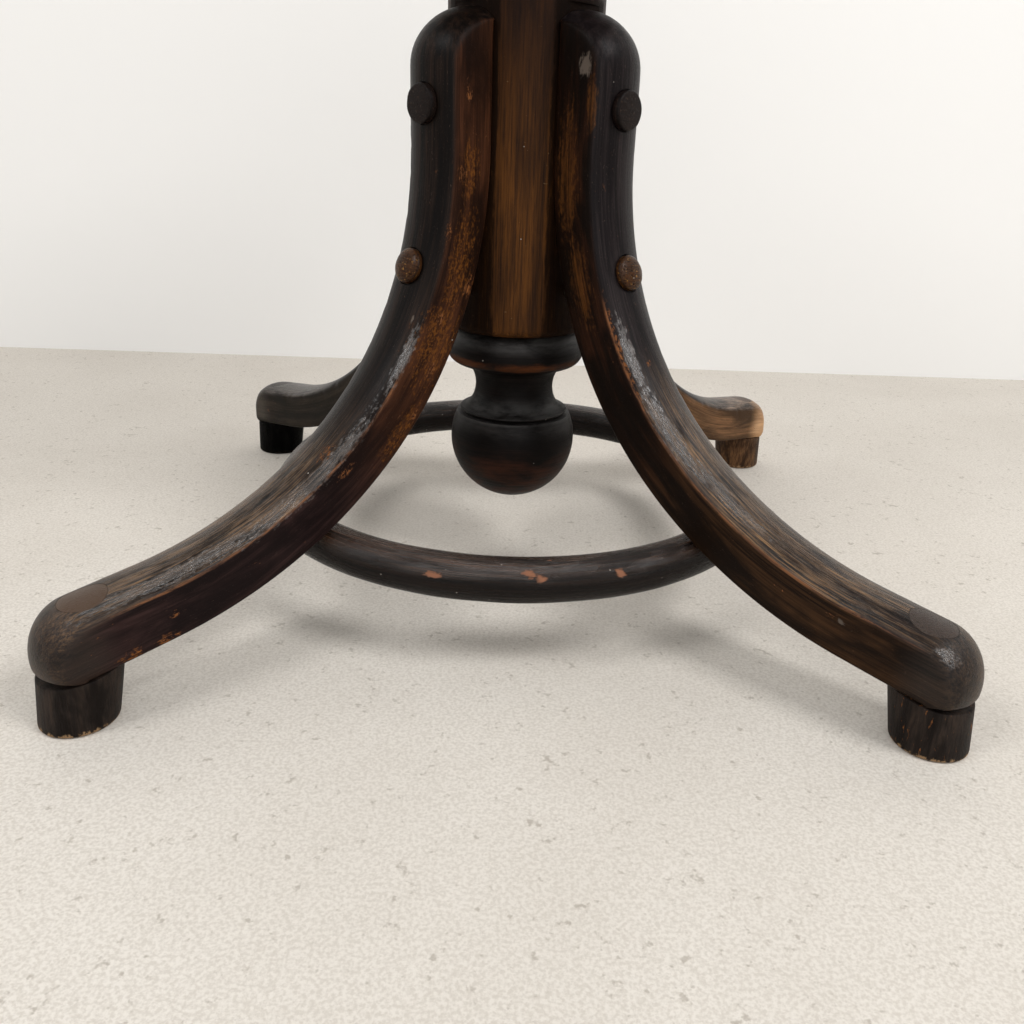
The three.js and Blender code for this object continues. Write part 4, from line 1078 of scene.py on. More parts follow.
@dataclass(frozen=True)
class Concrete(Finish):
    """A floated concrete floor: pale, with faint clouds, sand and a little grit."""

    grained: ClassVar[bool] = False
    base: str = "#e2dcd3"
    cloud: str = "#d3ccc2"
    sand: str = "#b5aca0"
    grit: str = "#a1988c"

    def surface(self, tree: bpy.types.NodeTree, place: Value, edge: Value) -> Surface:
        """As Finish.surface. The sand is drawn coarser than it is, so that it shows."""
        cloud = streaks(tree, place, (190, 190), self.seed, (0.3, 0.7), 4, 0.55, 0.4)
        sand = streaks(tree, place, (1.4, 1.4), self.seed + 2, (0.36, 0.66), 3, 0.65)
        grit = streaks(tree, place, (5, 5), self.seed + 4, (0.62, 0.72), 3, 0.6)
        colour = coats(tree, self.base, (both(tree, cloud, 0.6), self.cloud), (both(tree, sand, 0.45), self.sand),
                       (both(tree, grit, 0.6), self.grit))
        return colour, levels(tree, 0.85, (cloud, 0.75)), 0.3, total(tree, (sand, 0.05), (grit, -0.06))


@dataclass(frozen=True)
class Plaster(Finish):
    """A plaster wall painted white, matt, which can be looked through from behind."""

    grained: ClassVar[bool] = False
    paint: str = "#f3f2f0"

    def surface(self, tree: bpy.types.NodeTree, place: Value, edge: Value) -> Surface:
        """As Finish.surface: one plain coat."""
        return self.paint, 0.9, 0.5, 0.0

    def made(self) -> bpy.types.Material:
        """As Finish.made, with nothing seen on the wall's back."""
        material = super().made()
        tree = material.node_tree
        out = next(n for n in tree.nodes if n.bl_idname == "ShaderNodeOutputMaterial")
        side = add(tree, "ShaderNodeNewGeometry").outputs["Backfacing"]
        mixed = add(tree, "ShaderNodeMixShader", {
            0: side, 1: out.inputs["Surface"].links[0].from_socket, 2: add(tree, "ShaderNodeBsdfTransparent")})
        tree.links.new(mixed.outputs[0], out.inputs["Surface"])
        return material


LEG_FINISHES = {
    Corner.FRONT_LEFT: LegFinish(
        "ebonised beech, flaked", 1.0, flank=("#1b0e08", "#432718"), low_flank=("#150d0d", "#372624"),
        nose=("#0d0908", "#2d211b"),
        golden=((155, 16, 12, 21, 10), (66, 16, 14, 13, 5), (110, 16, 12, 23, 6), (204, 16, 6, 15, 4)),
        flaked=((32, 16.5, 15, 3, 1.4), (68, 16.5, 18, 4, 2.4), (97, 16.5, 23, 5, 1.4), (121, 16.5, 3, 5, 2.6),
                (142, 16.5, 15, 3.4, 1.8), (168, 16.5, 8, 4, 1.6), (192, 16.5, 3.5, 3, 1.4), (238, 16.5, 18, 5, 1.8),
                (238, 8, 27.7, 5, 2.4), (346, 16.5, 12, 2, 1.2), (372, -2.5, 28.8, 3, 1.2), (352, 16.5, 2, 5, 2),
                (368, 16.5, 2.5, 5, 2)),
        glossy=((262, 13.5, 25.4, 46, 3.4), (170, 14.5, 25, 16, 2.4), (338, 11, 26.7, 44, 3)),
        pale=((148, 11, 26.7, 2.4, 0.5),), arrises=((180, 372),), weather_from=240),
    Corner.FRONT_RIGHT: LegFinish(
        "ebonised beech, rubbed brown", 2.0, flank=("#0d0603", "#2e180c"), low_flank=("#140c07", "#3f2a19"),
        # Its crown colours are lighter and greyer than the other legs': painted sheen for the light from the right.
        crown=("#110d0e", "#2a2323"), gold="#5a3615", fleck_share=0.2,
        golden=((35, 16, 22, 10, 2.4), (68, 16, 9, 26, 5), (120, 16, 12, 18, 5)),
        flaked=((164, 15.6, 24, 26, 1.3), (172, 3.5, 28.6, 1.6, 1.6), (338, 16.5, 17, 2, 1)),
        glossy=((165, 12, 26, 18, 2.8), (215, 12, 26.3, 30, 3.8), (262, 9, 27.3, 26, 3.4), (392, 13, 25, 8, 3.4)),
        pale=((18, 16.5, 17, 4, 3), (344, 16.5, 17, 1.6, 1.0)), arrises=((136, 378),), weather_from=200),
    Corner.BACK_RIGHT: LegFinish(
        "ebonised beech, faded", 3.0, flank=("#2a1b11", "#5d432f"), low_flank=("#3a2715", "#79573a"),
        nose=("#84603f", "#c49a70"), weathered=("#3a291c", "#86684d", "#b0927a"), weather_from=320),
    Corner.BACK_LEFT: LegFinish(
        "ebonised beech, dusty", 4.0, flank=("#120d09", "#2e251c"), low_flank=("#110d09", "#2e261d"),
        nose=("#15110d", "#3a3128"), weathered=("#120e0b", "#3a3027", "#5c5045")),
}
FOOT_FINISHES = {
    Corner.FRONT_LEFT: FootFinish("beech foot, blackened and streaked", 6.0, plug="#4a3626"),
    Corner.FRONT_RIGHT: FootFinish("beech foot, blackened and chipped", 6.4, scuff="#8f5a30", scuff_level=0.62),
    Corner.BACK_RIGHT: FootFinish("beech foot, faded brown", 6.8, "#2c1c10", "#6b4a2d", plug="#4a3626"),
    # Blackened like the other feet, then painted near pure black: painted shade for the shade that this foot stands in.
    Corner.BACK_LEFT: FootFinish("beech foot, black", 7.2, "#010101", "#060504", "#1c1712", "#0e0b09", 0.75,
                                shine=0.05),
}
BUTTON_FLAT = ButtonFinish("beech buttons, ebonised", 8.0, "#0c0807", "#1f1613", "#453329", 0.1, 0.1)
BUTTON_DOME = ButtonFinish("beech buttons, rubbed bare and pitted", 9.0, "#140a05", "#442811", "#b27f38", 0.25, 0.15)
RING_FINISH = RingFinish("bent beech ring, ebonised", 12.0, (
    (-33, 10, 4, 3, 1.3), (8, 8, 7, 2.4, 1.6), (13, 9.5, 5.4, 1.8, 1.4), (48, 9.5, 5.4, 2, 1.8)))
POST_FINISH = PostFinish("beech post, stained and rubbed golden", 20.0)
BATTEN_FINISH = Stain("beech battens, sawn and oiled", 40.0, "#6e4f31", "#8d6a45", "#a98459", "#b7946a",
                      fibre=(50, 0.9), figure=(180, 9), pore=(3, 0.6), rough=(0.6, 0.75), chip_level=0.85,
                      edge_level=0.8, relief=0.15)
RIM_FINISH = Stain("bent beech rim, dark stained and polished", 50.0, "#1d120d", "#332016", "#4d3121", "#8a5a30",
                   fibre=(45, 0.9), figure=(200, 6), rough=(0.26, 0.4), chip=(10, 2.5), chip_level=0.76,
                   edge_level=0.6)
PANEL_FINISH = Stain("moulded beech veneer, stained and polished", 60.0, "#2a1810", "#452a1a", "#5d3b24", "#8a5a30",
                     fibre=(38, 0.8), figure=(220, 16), pore=(4, 0.5), rough=(0.26, 0.38), chip_level=0.82,
                     edge_level=0.9, relief=0.06)
STEEL = Iron("steel, turned and oiled", 3.0, "#8b8780", "#4e4944", "#b5b0a8", (0.3, 0.5), 0.5, 0.02)
IRON = Iron("iron, cast and blackened", 5.0, "#3a3836", "#241f1c", "#7d7972", (0.45, 0.65), 0.8, 0.08)
SPINDLE_STEEL = Iron("steel spindle, cut thread, greased", 7.0, "#6f6b66", "#2c2622", "#a8a49d", (0.28, 0.45), 0.5,
                     0.02)


# The wooden base


@dataclass
class SmallScrew:
    """A slotted countersunk wood screw, and the hole that it needs."""

    length: float
    radius: float = 2.2
    head_radius: float = 4.4
    head_height: float = 2.6
    slot_half: float = 0.45
    slot_depth: float = 1.1

    def made(self, name: str) -> bpy.types.Object:
        """The screw, pointing down from the origin, its slot along Y.

        Args:
            name: The object's name.

        Returns:
            The screw.
        """
        shank, head = self.radius, self.head_radius
        made = lathe(name, [
            (0, -self.length), (0.4, -self.length), (shank, 2 * shank - self.length), (shank, -self.head_height),
            (head - 0.15, -0.35), (head, -0.2), (head - 0.3, 0), (0, 0)], 32)
        return carve(made, [block("slot", (-self.slot_half, -head - 1, -self.slot_depth),
                                  (self.slot_half, head + 1, 1))])

    def hole(self, up: bool = False) -> bpy.types.Object:
        """Its hole, with the head at the origin.

        Args:
            up: True where the screw points up, and False where it points down.

        Returns:
            The cutter.
        """
        shank, head, end = self.radius + GAP, self.head_radius + GAP, -self.length - GAP
        outline = [(0, end), (shank, end), (shank, -self.head_height - GAP), (head, 0), (head, 4), (0, 4)]
        if up:
            outline = [(r, -z) for r, z in reversed(outline)]
        return lathe("hole", outline, 24)


def set_of_screws(name: str, screw: SmallScrew, body: str, values: dict[str, object]) -> None:
    """Four steel screws on a circle, dressed.

    Args:
        name: What they hold, as in their nodes' names.
        screw: One of them.
        body: The CAD body that carries them.
        values: The tree's inputs, other than their number.
    """
    tree = bpy.data.node_groups.get(Copies.ON_A_CIRCLE.value) or screws_on_circle()
    made = through(screw.made(f"{name}_screws_slotted"), tree, {"Count": 4, **values})
    dress(made, values["Material"], body, [f"{name}_screw_{s.place}" for s in Side])


@dataclass
class Row:
    """One row of a leg's outer face, across its width, in the leg's (r, z) plane."""

    edge: Pair
    back: Pair
    normal: Pair
    rise: float
    soft: float


@dataclass
class Leg:
    """A bent leg: a straight top, two bends, a tail over the foot, and a rounded end above and below."""

    back_radius: float = 37.2
    width: float = 33.0
    side_depth: float = 23.6
    crown: float = 5.3
    straight: float = 55.0
    upper_radius: float = 194.5
    upper_turn: float = 50.0
    lower_radius: float = 221.5
    lower_turn: float = 32.0
    tail: float = 35.0
    nose_past_foot: float = 12.0
    top_round: float = 20.0
    top_crown: float = 6.5
    nose_round: float = 17.0
    nose_crown: float = 5.8
    under_rise: float = 5.0
    under_length: float = 9.0
    foot_height: float = 25.0
    arris: float = 2.4
    step: float = 1.7
    core: float = 12.0
    worn_flat: float = 0.22
    worn_arris: float = 0.15
    dent: float = 1.1

    def __post_init__(self) -> None:
        """Works out where the leg's top is, from its bends and its foot."""
        self.end_turn = self.upper_turn + self.lower_turn
        a, b = math.radians(self.upper_turn), math.radians(self.end_turn)
        self.tail_way = Vector((math.sin(b), -math.cos(b)))
        self.tail_out = Vector((math.cos(b), math.sin(b)))
        drop = self.straight + self.upper_radius * math.sin(a) + self.lower_radius * (math.sin(b) - math.sin(a))
        self.top = self.foot_height + drop + self.tail * math.cos(b)
        self.bend_z = self.top - self.straight
        self.tail_start = Vector(self.back_at(self.end_turn))
        self.foot_point = self.tail_start + self.tail * self.tail_way
        self.nose = self.foot_point + self.nose_past_foot * self.tail_way
        self.lengths = (self.straight, self.straight + self.upper_radius * a,
                        self.straight + self.upper_radius * a + self.lower_radius * (b - a))

    def back_at(self, lean: float) -> Pair:
        """Where the leg's flat back is in its bends, at a lean from upright in degrees.

        Args:
            lean: The lean.

        Returns:
            The point in the leg's (r, z) plane.
        """
        a, b = math.radians(min(lean, self.upper_turn)), math.radians(lean)
        b = max(a, b)
        r = self.back_radius + self.upper_radius * (1 - math.cos(a)) + self.lower_radius * (math.cos(a) - math.cos(b))
        z = self.bend_z - self.upper_radius * math.sin(a) - self.lower_radius * (math.sin(b) - math.sin(a))
        return r, z

    def lean_at(self, past: float) -> float:
        """The leg's lean from upright in degrees, at a length past its straight top.

        Args:
            past: The length.

        Returns:
            The lean.
        """
        upper = self.lengths[1] - self.lengths[0]
        if past < upper:
            return math.degrees(past / self.upper_radius)
        return self.upper_turn + math.degrees((past - upper) / self.lower_radius)

    def on_face(self, lean: float, out: float, back: Optional[Pair] = None) -> tuple[Vector, Vector]:
        """A point out of the leg's back, at bearing 0.

        Args:
            lean: How far the leg leans there, in degrees.
            out: How far the point is out of the back.
            back: The point of the back, where it isn't in the bends.

        Returns:
            The point, and the way that the leg faces there.
        """
        r, z = back or self.back_at(lean)
        way = Vector((math.cos(math.radians(lean)), 0, math.sin(math.radians(lean))))
        return Vector((r, 0, z)) + out * way, way

    def locate(self, r: float, z: float) -> Pair:
        """How far down the leg a point is, and how far out of its back.

        Args:
            r: The point's distance from the post's axis.
            z: Its height.

        Returns:
            The two lengths in millimetres.
        """
        if z >= self.bend_z:
            return self.top - z, r - self.back_radius
        upper = Vector((self.back_radius + self.upper_radius, self.bend_z))
        arm = upper - Vector((r, z))
        lean = math.degrees(math.atan2(arm.y, arm.x))
        if lean <= self.upper_turn:
            return self.lengths[0] + self.upper_radius * math.radians(lean), self.upper_radius - arm.length
        knee = Vector(self.back_at(self.upper_turn))
        turn = math.radians(self.upper_turn)
        lower = knee + self.lower_radius * Vector((math.cos(turn), math.sin(turn)))
        arm = lower - Vector((r, z))
        lean = math.degrees(math.atan2(arm.y, arm.x))
        if lean <= self.end_turn:
            extra = self.lower_radius * math.radians(lean - self.upper_turn)
            return self.lengths[1] + extra, self.lower_radius - arm.length
        past = Vector((r, z)) - self.tail_start
        return self.lengths[2] + past.dot(self.tail_way), past.dot(self.tail_out)

    def rows(self) -> list[Row]:
        """The rows of the outer face, from the rounded top to where the nose rounds under."""
        made: list[Row] = []
        for i in range(15):
            a = math.radians(90 * i / 14)
            s, c = math.sin(a), math.cos(a)
            z = self.top - self.top_round * (1 - c)
            rise = self.top_crown + (self.crown - self.top_crown) * i / 14
            normal = Vector((s / self.side_depth, c / self.top_round)).normalized()
            made.append(Row((self.back_radius + self.side_depth * s, z), (self.back_radius, z), normal, rise,
                            self.arris + 2.2 * c))
        count = round((self.straight - self.top_round) / self.step)
        for i in range(1, count):
            z = self.top - self.top_round - (self.straight - self.top_round) * i / count
            made.append(Row((self.back_radius + self.side_depth, z), (self.back_radius, z), (1, 0), self.crown,
                            self.arris))
        total = self.lengths[2] - self.lengths[0]
        count = round(total / self.step)
        for i in range(count + 1):
            lean = self.lean_at(total * i / count)
            back = Vector(self.back_at(lean))
            out = Vector((math.cos(math.radians(lean)), math.sin(math.radians(lean))))
            made.append(Row(back + self.side_depth * out, back, out, self.crown, self.arris))
        flat = self.tail + self.nose_past_foot - self.nose_round
        count = round(flat / self.step)
        for i in range(1, count):
            back = self.tail_start + flat * i / count * self.tail_way
            made.append(Row(back + self.side_depth * self.tail_out, back, self.tail_out, self.crown,
                            self.arris + 1.2 * i / count))
        reach = self.side_depth - self.under_rise
        for i in range(17):
            a = math.radians(90 * i / 16)
            s, c = math.sin(a), math.cos(a)
            back = self.nose - max(self.nose_round * (1 - s), self.under_length) * self.tail_way
            edge = self.nose - self.nose_round * (1 - s) * self.tail_way + (self.under_rise + reach * c) * self.tail_out
            normal = (s / self.nose_round * self.tail_way + c / reach * self.tail_out).normalized()
            rise = self.crown + (self.nose_crown - self.crown) * i / 16
            made.append(Row(edge, back, normal, rise, self.arris + 1.2 + 2.4 * s))
        under = self.nose - self.under_length * self.tail_way
        for i in range(1, 8):
            a = math.radians(84 * i / 7)
            s, c = math.sin(a), math.cos(a)
            edge = self.nose - self.under_length * (1 - c) * self.tail_way + self.under_rise * (1 - s) * self.tail_out
            made.append(Row(edge, under, self.tail_way, self.nose_crown * c, self.arris + 3.6))
        return made

    def section(self, row: Row) -> list[tuple[Vector, float, float]]:
        """One closed loop round the leg, its arrises softened.

        Args:
            row: The row that it belongs to.

        Returns:
            For each point its place at bearing 0, how near it is to an arris, and whether it is on the crown.
        """
        edge, back, normal = Vector(row.edge), Vector(row.back), Vector(row.normal)
        half = self.width / 2
        bow = (half * half + self.crown * self.crown) / (2 * self.crown)
        depth = (edge - back).length
        way = (edge - back) / depth if depth > 1e-6 else Vector((0, 0))
        soft, inner = min(row.soft, 0.45 * depth), min(1.6, 0.45 * depth)

        def at(flat: Vector, y: float) -> Vector:
            """A point of the leg's plane, moved across the leg."""
            return Vector((flat.x, y, flat.y))

        def crowned(y: float) -> Vector:
            """A point of the crown."""
            share = (math.sqrt(bow * bow - y * y) - (bow - self.crown)) / self.crown
            return at(edge + row.rise * share * normal, y)

        def rounded(a: Vector, b: Vector, c: Vector, steps: int) -> list[Vector]:
            """A soft corner from a to c, bent toward b."""
            shares = [i / steps for i in range(steps + 1)]
            return [(1 - t) ** 2 * a + 2 * t * (1 - t) * b + t * t * c for t in shares]

        corner, first = at(edge, -half), -half + 0.8 * soft
        points = [(at(back, -(half - inner) * i / 4), 0.0) for i in range(4)]
        points += [(p, 0.0) for p in rounded(at(back, inner - half), at(back, -half),
                                             at(back + inner * way, -half), 3)]
        low, high = back + inner * way, edge - soft * way
        points += [(at(low + (high - low) * i / 6, -half), 0.0) for i in range(1, 6)]
        points += [(p, i / 4) for i, p in enumerate(rounded(at(high, -half), corner, crowned(first), 4))]
        points += [(crowned(first * (1 - i / 9)), 1.0) for i in range(1, 10)]
        right = [(p, math.exp(-((p - corner).length / 2.6) ** 2), c) for p, c in points]
        left = [(Vector((p.x, -p.y, p.z)), e, c) for p, e, c in reversed(right[1:-1])]
        return right + left

    def worn(self, point: Vector, near: float, seed: float) -> Vector:
        """Pushes a point in where the leg is rubbed or dented, most at the arrises.

        Args:
            point: A point of the leg at bearing 0.
            near: How near it is to an arris.
            seed: Another one for each leg.

        Returns:
            The moved point.
        """
        s, d = self.locate(point.x, point.z)
        wave = noise.noise(Vector((s / 60, point.y / 30 + seed * 5, d / 30)))
        nick = noise.noise(Vector((s / 7 + seed * 11, point.y / 9, d / 9)))
        deep = self.worn_flat * (0.5 + 0.5 * wave) + near * (self.worn_arris + self.dent * max(0.0, nick - 0.25))
        pull = self.on_core(s) - point
        pull.y *= 0.8
        return point + pull.normalized() * deep

    def on_core(self, s: float) -> Vector:
        """The middle of the leg's section at a length down the leg.

        Args:
            s: The length.

        Returns:
            The point, at bearing 0.
        """
        if s < self.lengths[0]:
            return Vector((self.back_radius + self.core, 0, self.top - max(s, self.top_round)))
        if s > self.lengths[2]:
            flat = self.tail_start + min(s - self.lengths[2], self.tail) * self.tail_way + self.core * self.tail_out
            return Vector((flat.x, 0, flat.y))
        return self.on_face(self.lean_at(s - self.lengths[0]), self.core)[0]

    def blank(self) -> tuple[bpy.types.Object, kdtree.KDTree, list[Pair]]:
        """The leg at bearing 0, before its holes and dents.

        Returns:
            The object, a tree of its points in millimetres, and for each of them its nearness to an arris and
            whether it is on the crown.
        """
        rings = [self.section(row) for row in self.rows()]
        values = [(e, c) for ring in rings for _, e, c in ring]
        places = [p for ring in rings for p, _, _ in ring]
        found = kdtree.KDTree(len(places))
        for i, p in enumerate(places):
            found.insert(p, i)
        found.balance()
        return loft("leg", [[p for p, _, _ in ring] for ring in rings]), found, values


@dataclass
class LegScrew:
    """A screw through a leg into the post, its counterbore and the button over it."""

    lean: float
    back: Optional[Pair]
    radius: float = 3.0
    head_radius: float = 5.6
    head_height: float = 3.2
    head_depth: float = 7.5
    bite: float = 16.0
    button_radius: float = 9.0
    stem_radius: float = 6.2
    spot_depth: float = 1.0

    def length(self, leg: Leg) -> float:
        """The screw's length from its head to its tip in the post."""
        r = self.back[0] if self.back else leg.back_at(self.lean)[0]
        into = (r - (leg.back_radius - GAP)) / math.cos(math.radians(self.lean))
        return leg.side_depth + leg.crown - self.head_depth + into + self.bite

    def cutter(self, leg: Leg) -> bpy.types.Object:
        """Everything that the screw needs cut, at bearing 0.

        Args:
            leg: The leg that it goes through.

        Returns:
            The cutter.
        """
        floor = -self.head_depth
        tip = floor - self.length(leg) - GAP
        outline = [(0, tip), (self.radius + GAP, tip), (self.radius + GAP, floor - self.head_height - GAP),
                   (self.stem_radius + GAP, floor), (self.stem_radius + GAP, -self.spot_depth),
                   (self.button_radius + GAP, -self.spot_depth), (self.button_radius + GAP, 6), (0, 6)]
        made = lathe("bore", outline, 40)
        point, way = leg.on_face(self.lean, leg.side_depth + leg.crown, self.back)
        return aimed(made, way, point)


@dataclass
class Foot:
    """A turned foot that leans out toward the floor, with a dowel up through the leg."""

    lean: float = 9.0
    radius: float = 17.2
    sole: float = 16.1
    dowel: float = 9.7
    sole_round: float = 1.5
    top_round: float = 0.7
    dowel_gap: float = 0.15
    turns: int = 48
    worn_height: float = 2.2
    plug_above: float = 6.0

    def frame(self, leg: Leg) -> tuple[Vector, Vector, Vector]:
        """The foot's point under the leg, its axis upward, and the way across it, at bearing 0."""
        a = math.radians(self.lean)
        return (Vector((leg.foot_point.x, 0, leg.foot_point.y)), Vector((-math.sin(a), 0, math.cos(a))),
                Vector((math.cos(a), 0, math.sin(a))))

    def cutter(self, leg: Leg) -> bpy.types.Object:
        """The dowel's hole through the leg, at bearing 0."""
        point, axis, _ = self.frame(leg)
        return aimed(rod("hole", self.dowel + self.dowel_gap, -12, 60, self.turns), axis, point)

    def made(self, leg: Leg, face: bvhtree.BVHTree, seed: float) -> bpy.types.Object:
        """The foot at bearing 0.

        Args:
            leg: The leg that it carries.
            face: That leg before its holes, whose outer face the dowel is cut level with.
            seed: That leg's own, for its dents.

        Returns:
            The foot and its dowel in one mesh.
        """
        point, axis, across = self.frame(leg)
        under = Vector((leg.tail_out.x, 0, leg.tail_out.y))
        turns = [math.tau * i / self.turns for i in range(self.turns)]

        def way(a: float) -> Vector:
            """The way out from the foot's axis at an angle round it."""
            return math.cos(a) * across + Vector((0, math.sin(a), 0))

        def on_floor(a: float, radius: float) -> Vector:
            """Where a line along the foot meets the floor."""
            side = point + radius * way(a)
            return side - side.z / axis.z * axis

        def on_leg(a: float, radius: float) -> Vector:
            """Where a line along the foot meets the leg's underside."""
            side = radius * way(a)
            return point + side - (side.dot(under) + GAP) / axis.dot(under) * axis

        def on_crown(a: float, radius: float) -> Vector:
            """Where a line along the dowel meets the leg's outer face."""
            start = point + radius * way(a) + 90 * axis
            hit = face.ray_cast(start * MM, -axis)[0]
            return leg.worn(hit / MM, 0.0, seed) - 0.05 * axis

        def between(a: Vector, b: Vector, c: Vector, share: float) -> Vector:
            """A point of a soft corner from a to c, bent toward b."""
            return (1 - share) ** 2 * a + 2 * share * (1 - share) * b + share * share * c

        loops = [[on_floor(a, self.sole * share) for a in turns] for share in (0, 0.45, 0.8)]
        low = [(on_floor(a, self.sole - self.sole_round), on_floor(a, self.sole)) for a in turns]
        top = [(on_leg(a, self.radius), on_leg(a, self.radius - self.top_round)) for a in turns]
        sides = [(high - corner).normalized() for (_, corner), (high, _) in zip(low, top)]
        for i in range(5):
            loops.append([between(flat, corner, corner + self.sole_round * side, i / 4)
                          for (flat, corner), side in zip(low, sides)])
        for i in range(1, 9):
            loops.append([(corner + self.sole_round * side).lerp(high - self.top_round * side, i / 8)
                          for (_, corner), (high, _), side in zip(low, top, sides)])
        for i in range(1, 4):
            loops.append([between(high - self.top_round * side, high, flat, i / 3)
                          for (high, flat), side in zip(top, sides)])
        loops.append([on_leg(a, self.dowel) for a in turns])
        crest = [on_crown(a, self.dowel) for a in turns]
        loops += [[a.lerp(b, i / 6) for a, b in zip(loops[-1], crest)] for i in range(1, 6)]
        loops.append(crest)
        loops += [[on_crown(a, self.dowel * share) for a in turns] for share in (0.75, 0.5, 0.25, 0)]
        return loft("foot", loops)


@dataclass
class Base:
    """The wooden base: post, four legs with feet and buttons, ring stretcher and pendant finial."""

    leg: Leg
    upper: LegScrew
    lower: LegScrew
    foot: Foot
    post_radius: float = 38.7
    post_below: float = 146.0
    post_above: float = 105.0
    post_round: float = 4.5
    quirk: float = 2.6
    bead: Pair = (5.2, 4.5)
    cove: float = 43.0
    housing_depth: float = 1.8
    housing_sweep: float = 40.0
    ring_rod: float = 10.9
    ring_touch: float = 60.25
    ring_tuck: float = 9.0
    ring_bulge: float = 0.5
    ring_screw_sunk: float = 2.0
    ring_screw_bite: float = 15.0
    spindle_bore: float = 15.5
    nut_barrel: Pair = (20.0, 33.0)
    nut_screw_circle: float = 27.5
    nut_screw_bore: Pair = (2.5, 21.0)
    tenon: Pair = (12.0, 25.0)
    ball: float = 35.4
    collar: float = 38.0
    collar_height: float = 12.2
    neck_radius: float = 30.2
    neck_height: float = 25.0
    tail_room: float = 132.0

    def __post_init__(self) -> None:
        """Works out the heights and places that the pieces share."""
        self.post_bottom = self.leg.top - self.post_below
        self.post_top = self.leg.top + self.post_above
        self.ring_centre, self.ring_way = self.leg.on_face(self.ring_touch, -self.ring_rod - GAP)
        self.ring_screw = SmallScrew(2 * self.ring_rod - self.ring_screw_sunk + GAP + self.ring_screw_bite)

    def build(self) -> None:
        """Builds and dresses every piece of the base."""
        blank, places, values = self.leg.blank()
        face = bvhtree.BVHTree.FromObject(blank, bpy.context.evaluated_depsgraph_get())
        carve(blank, [self.foot.cutter(self.leg), self.on_ring(self.ring_screw.hole()), self.upper.cutter(self.leg),
                      self.lower.cutter(self.leg)])
        shares = []
        for v in blank.data.vertices:
            near = [(values[i], 1 / (d + 0.05)) for _, i, d in places.find_n(v.co / MM, 3)]
            weight = sum(w for _, w in near)
            shares.append(tuple(sum(value[k] * w for value, w in near) / weight for k in (0, 1)))
        for corner in Corner:
            self.corner(corner, blank, shares, face)
        drop(blank)
        self.buttons()
        self.ring()
        self.post()
        self.finial()

    def corner(self, corner: Corner, blank: bpy.types.Object, shares: Sequence[Pair], face: bvhtree.BVHTree) -> None:
        """One leg, dented in its own way, and its foot.

        Args:
            corner: Which of the four it is.
            blank: The bored leg at bearing 0, without dents.
            shares: For each of its points, how near it is to an arris and whether it is on the crown.
            face: The leg's skin before its holes.
        """
        leg, seed, hand = self.leg, corner.value / 90, corner.seen
        made = new_object(f"leg_{corner.place}_bent", blank.data.copy())
        grain = []
        for v, (edge, _) in zip(made.data.vertices, shares):
            point = v.co / MM
            s, d = leg.locate(point.x, point.z)
            grain.append((s * MM, hand * point.y * MM, d * MM))
            v.co = leg.worn(point, edge, seed) * MM
        write(made, "grain", grain)
        write(made, "edge", [edge for edge, _ in shares])
        write(made, "crown", [crown for _, crown in shares])
        foot = self.foot.made(leg, face, seed)
        foot.name = f"foot_{corner.place}_turned"
        lay(foot, "grain", lambda p, n: (p.z * MM, p.x * MM, hand * p.y * MM))
        lay(foot, "edge", lambda p, n: math.exp(-((p.z / self.foot.worn_height) ** 2)))
        lay(foot, "crown", lambda p, n: float(p.z > leg.foot_height + self.foot.plug_above))
        for kind, piece, finish in (("leg", made, LEG_FINISHES[corner]), ("foot", foot, FOOT_FINISHES[corner])):
            moved(piece, Matrix.Rotation(math.radians(corner.value), 4, "Z"))
            dress(piece, finish.made(), "base", [f"{kind}_{corner.place}"], 50)

    def on_ring(self, made: bpy.types.Object) -> bpy.types.Object:
        """Moves a ring screw or its hole from the origin to its place under the ring, at bearing 0."""
        head = self.ring_centre - (self.ring_rod - self.ring_screw_sunk) * self.ring_way
        return aimed(made, -self.ring_way, head)

    def buttons(self) -> None:
        """The wooden buttons over the leg screws: flat discs above, domes below."""
        seat = GAP - self.upper.spot_depth
        r, stem_radius = self.upper.button_radius, self.upper.stem_radius
        stem = [(0, seat - 5.4), (stem_radius - 0.2, seat - 5.4), (stem_radius, seat - 5.1), (stem_radius, seat)]
        flat = [(r - 0.3, seat), (r, seat + 0.4), (r, 2.1), *arc((r - 1.4, 2.1), (1.4, 1.15), 0, 90, 6), (5, 3.4),
                (2.5, 3.48), (0, 3.5)]
        dome = [(r - 0.7, seat), (r - 0.4, seat + 0.5), *arc((0, 1.4), (r - 0.4, 3.0), 0, 90, 14)]
        for level, at, outline, finish in (("upper", self.upper, flat, BUTTON_FLAT),
                                           ("lower", self.lower, dome, BUTTON_DOME)):
            made = lathe(f"leg_buttons_{level}_turned", [*stem, *outline], 40)
            uneven(made, 0.25, 3.5, at.lean)
            lay(made, "grain", lambda p, n: p * MM)
            # Nearness to the button's rim, which the finish darkens as painted shade.
            lay(made, "edge", lambda p, n: max(0.0, (math.hypot(p.x, p.y) - 6.4) / 2.6) if p.z > 0 else 0.0)
            point, way = self.leg.on_face(at.lean, self.leg.side_depth + self.leg.crown, at.back)
            self.about_post(aimed(made, way, point), finish.made(), "button_wood", f"leg_button_{level}")

    @staticmethod
    def about_post(made: bpy.types.Object, material: bpy.types.Material, slot: str, node: str) -> None:
        """Repeats a piece on the four legs and dresses it.

        Args:
            made: The piece at bearing 0.
            material: Its material.
            slot: Not used.
            node: The CAD nodes' name, without its corner.
        """
        tree = bpy.data.node_groups.get(Copies.ABOUT_THE_POST.value) or copies_about_post()
        through(made, tree, {"Count": 4, "First Bearing": math.radians(45), "Material": material})
        dress(made, material, "base", [f"{node}_{c.place}" for c in Corner])

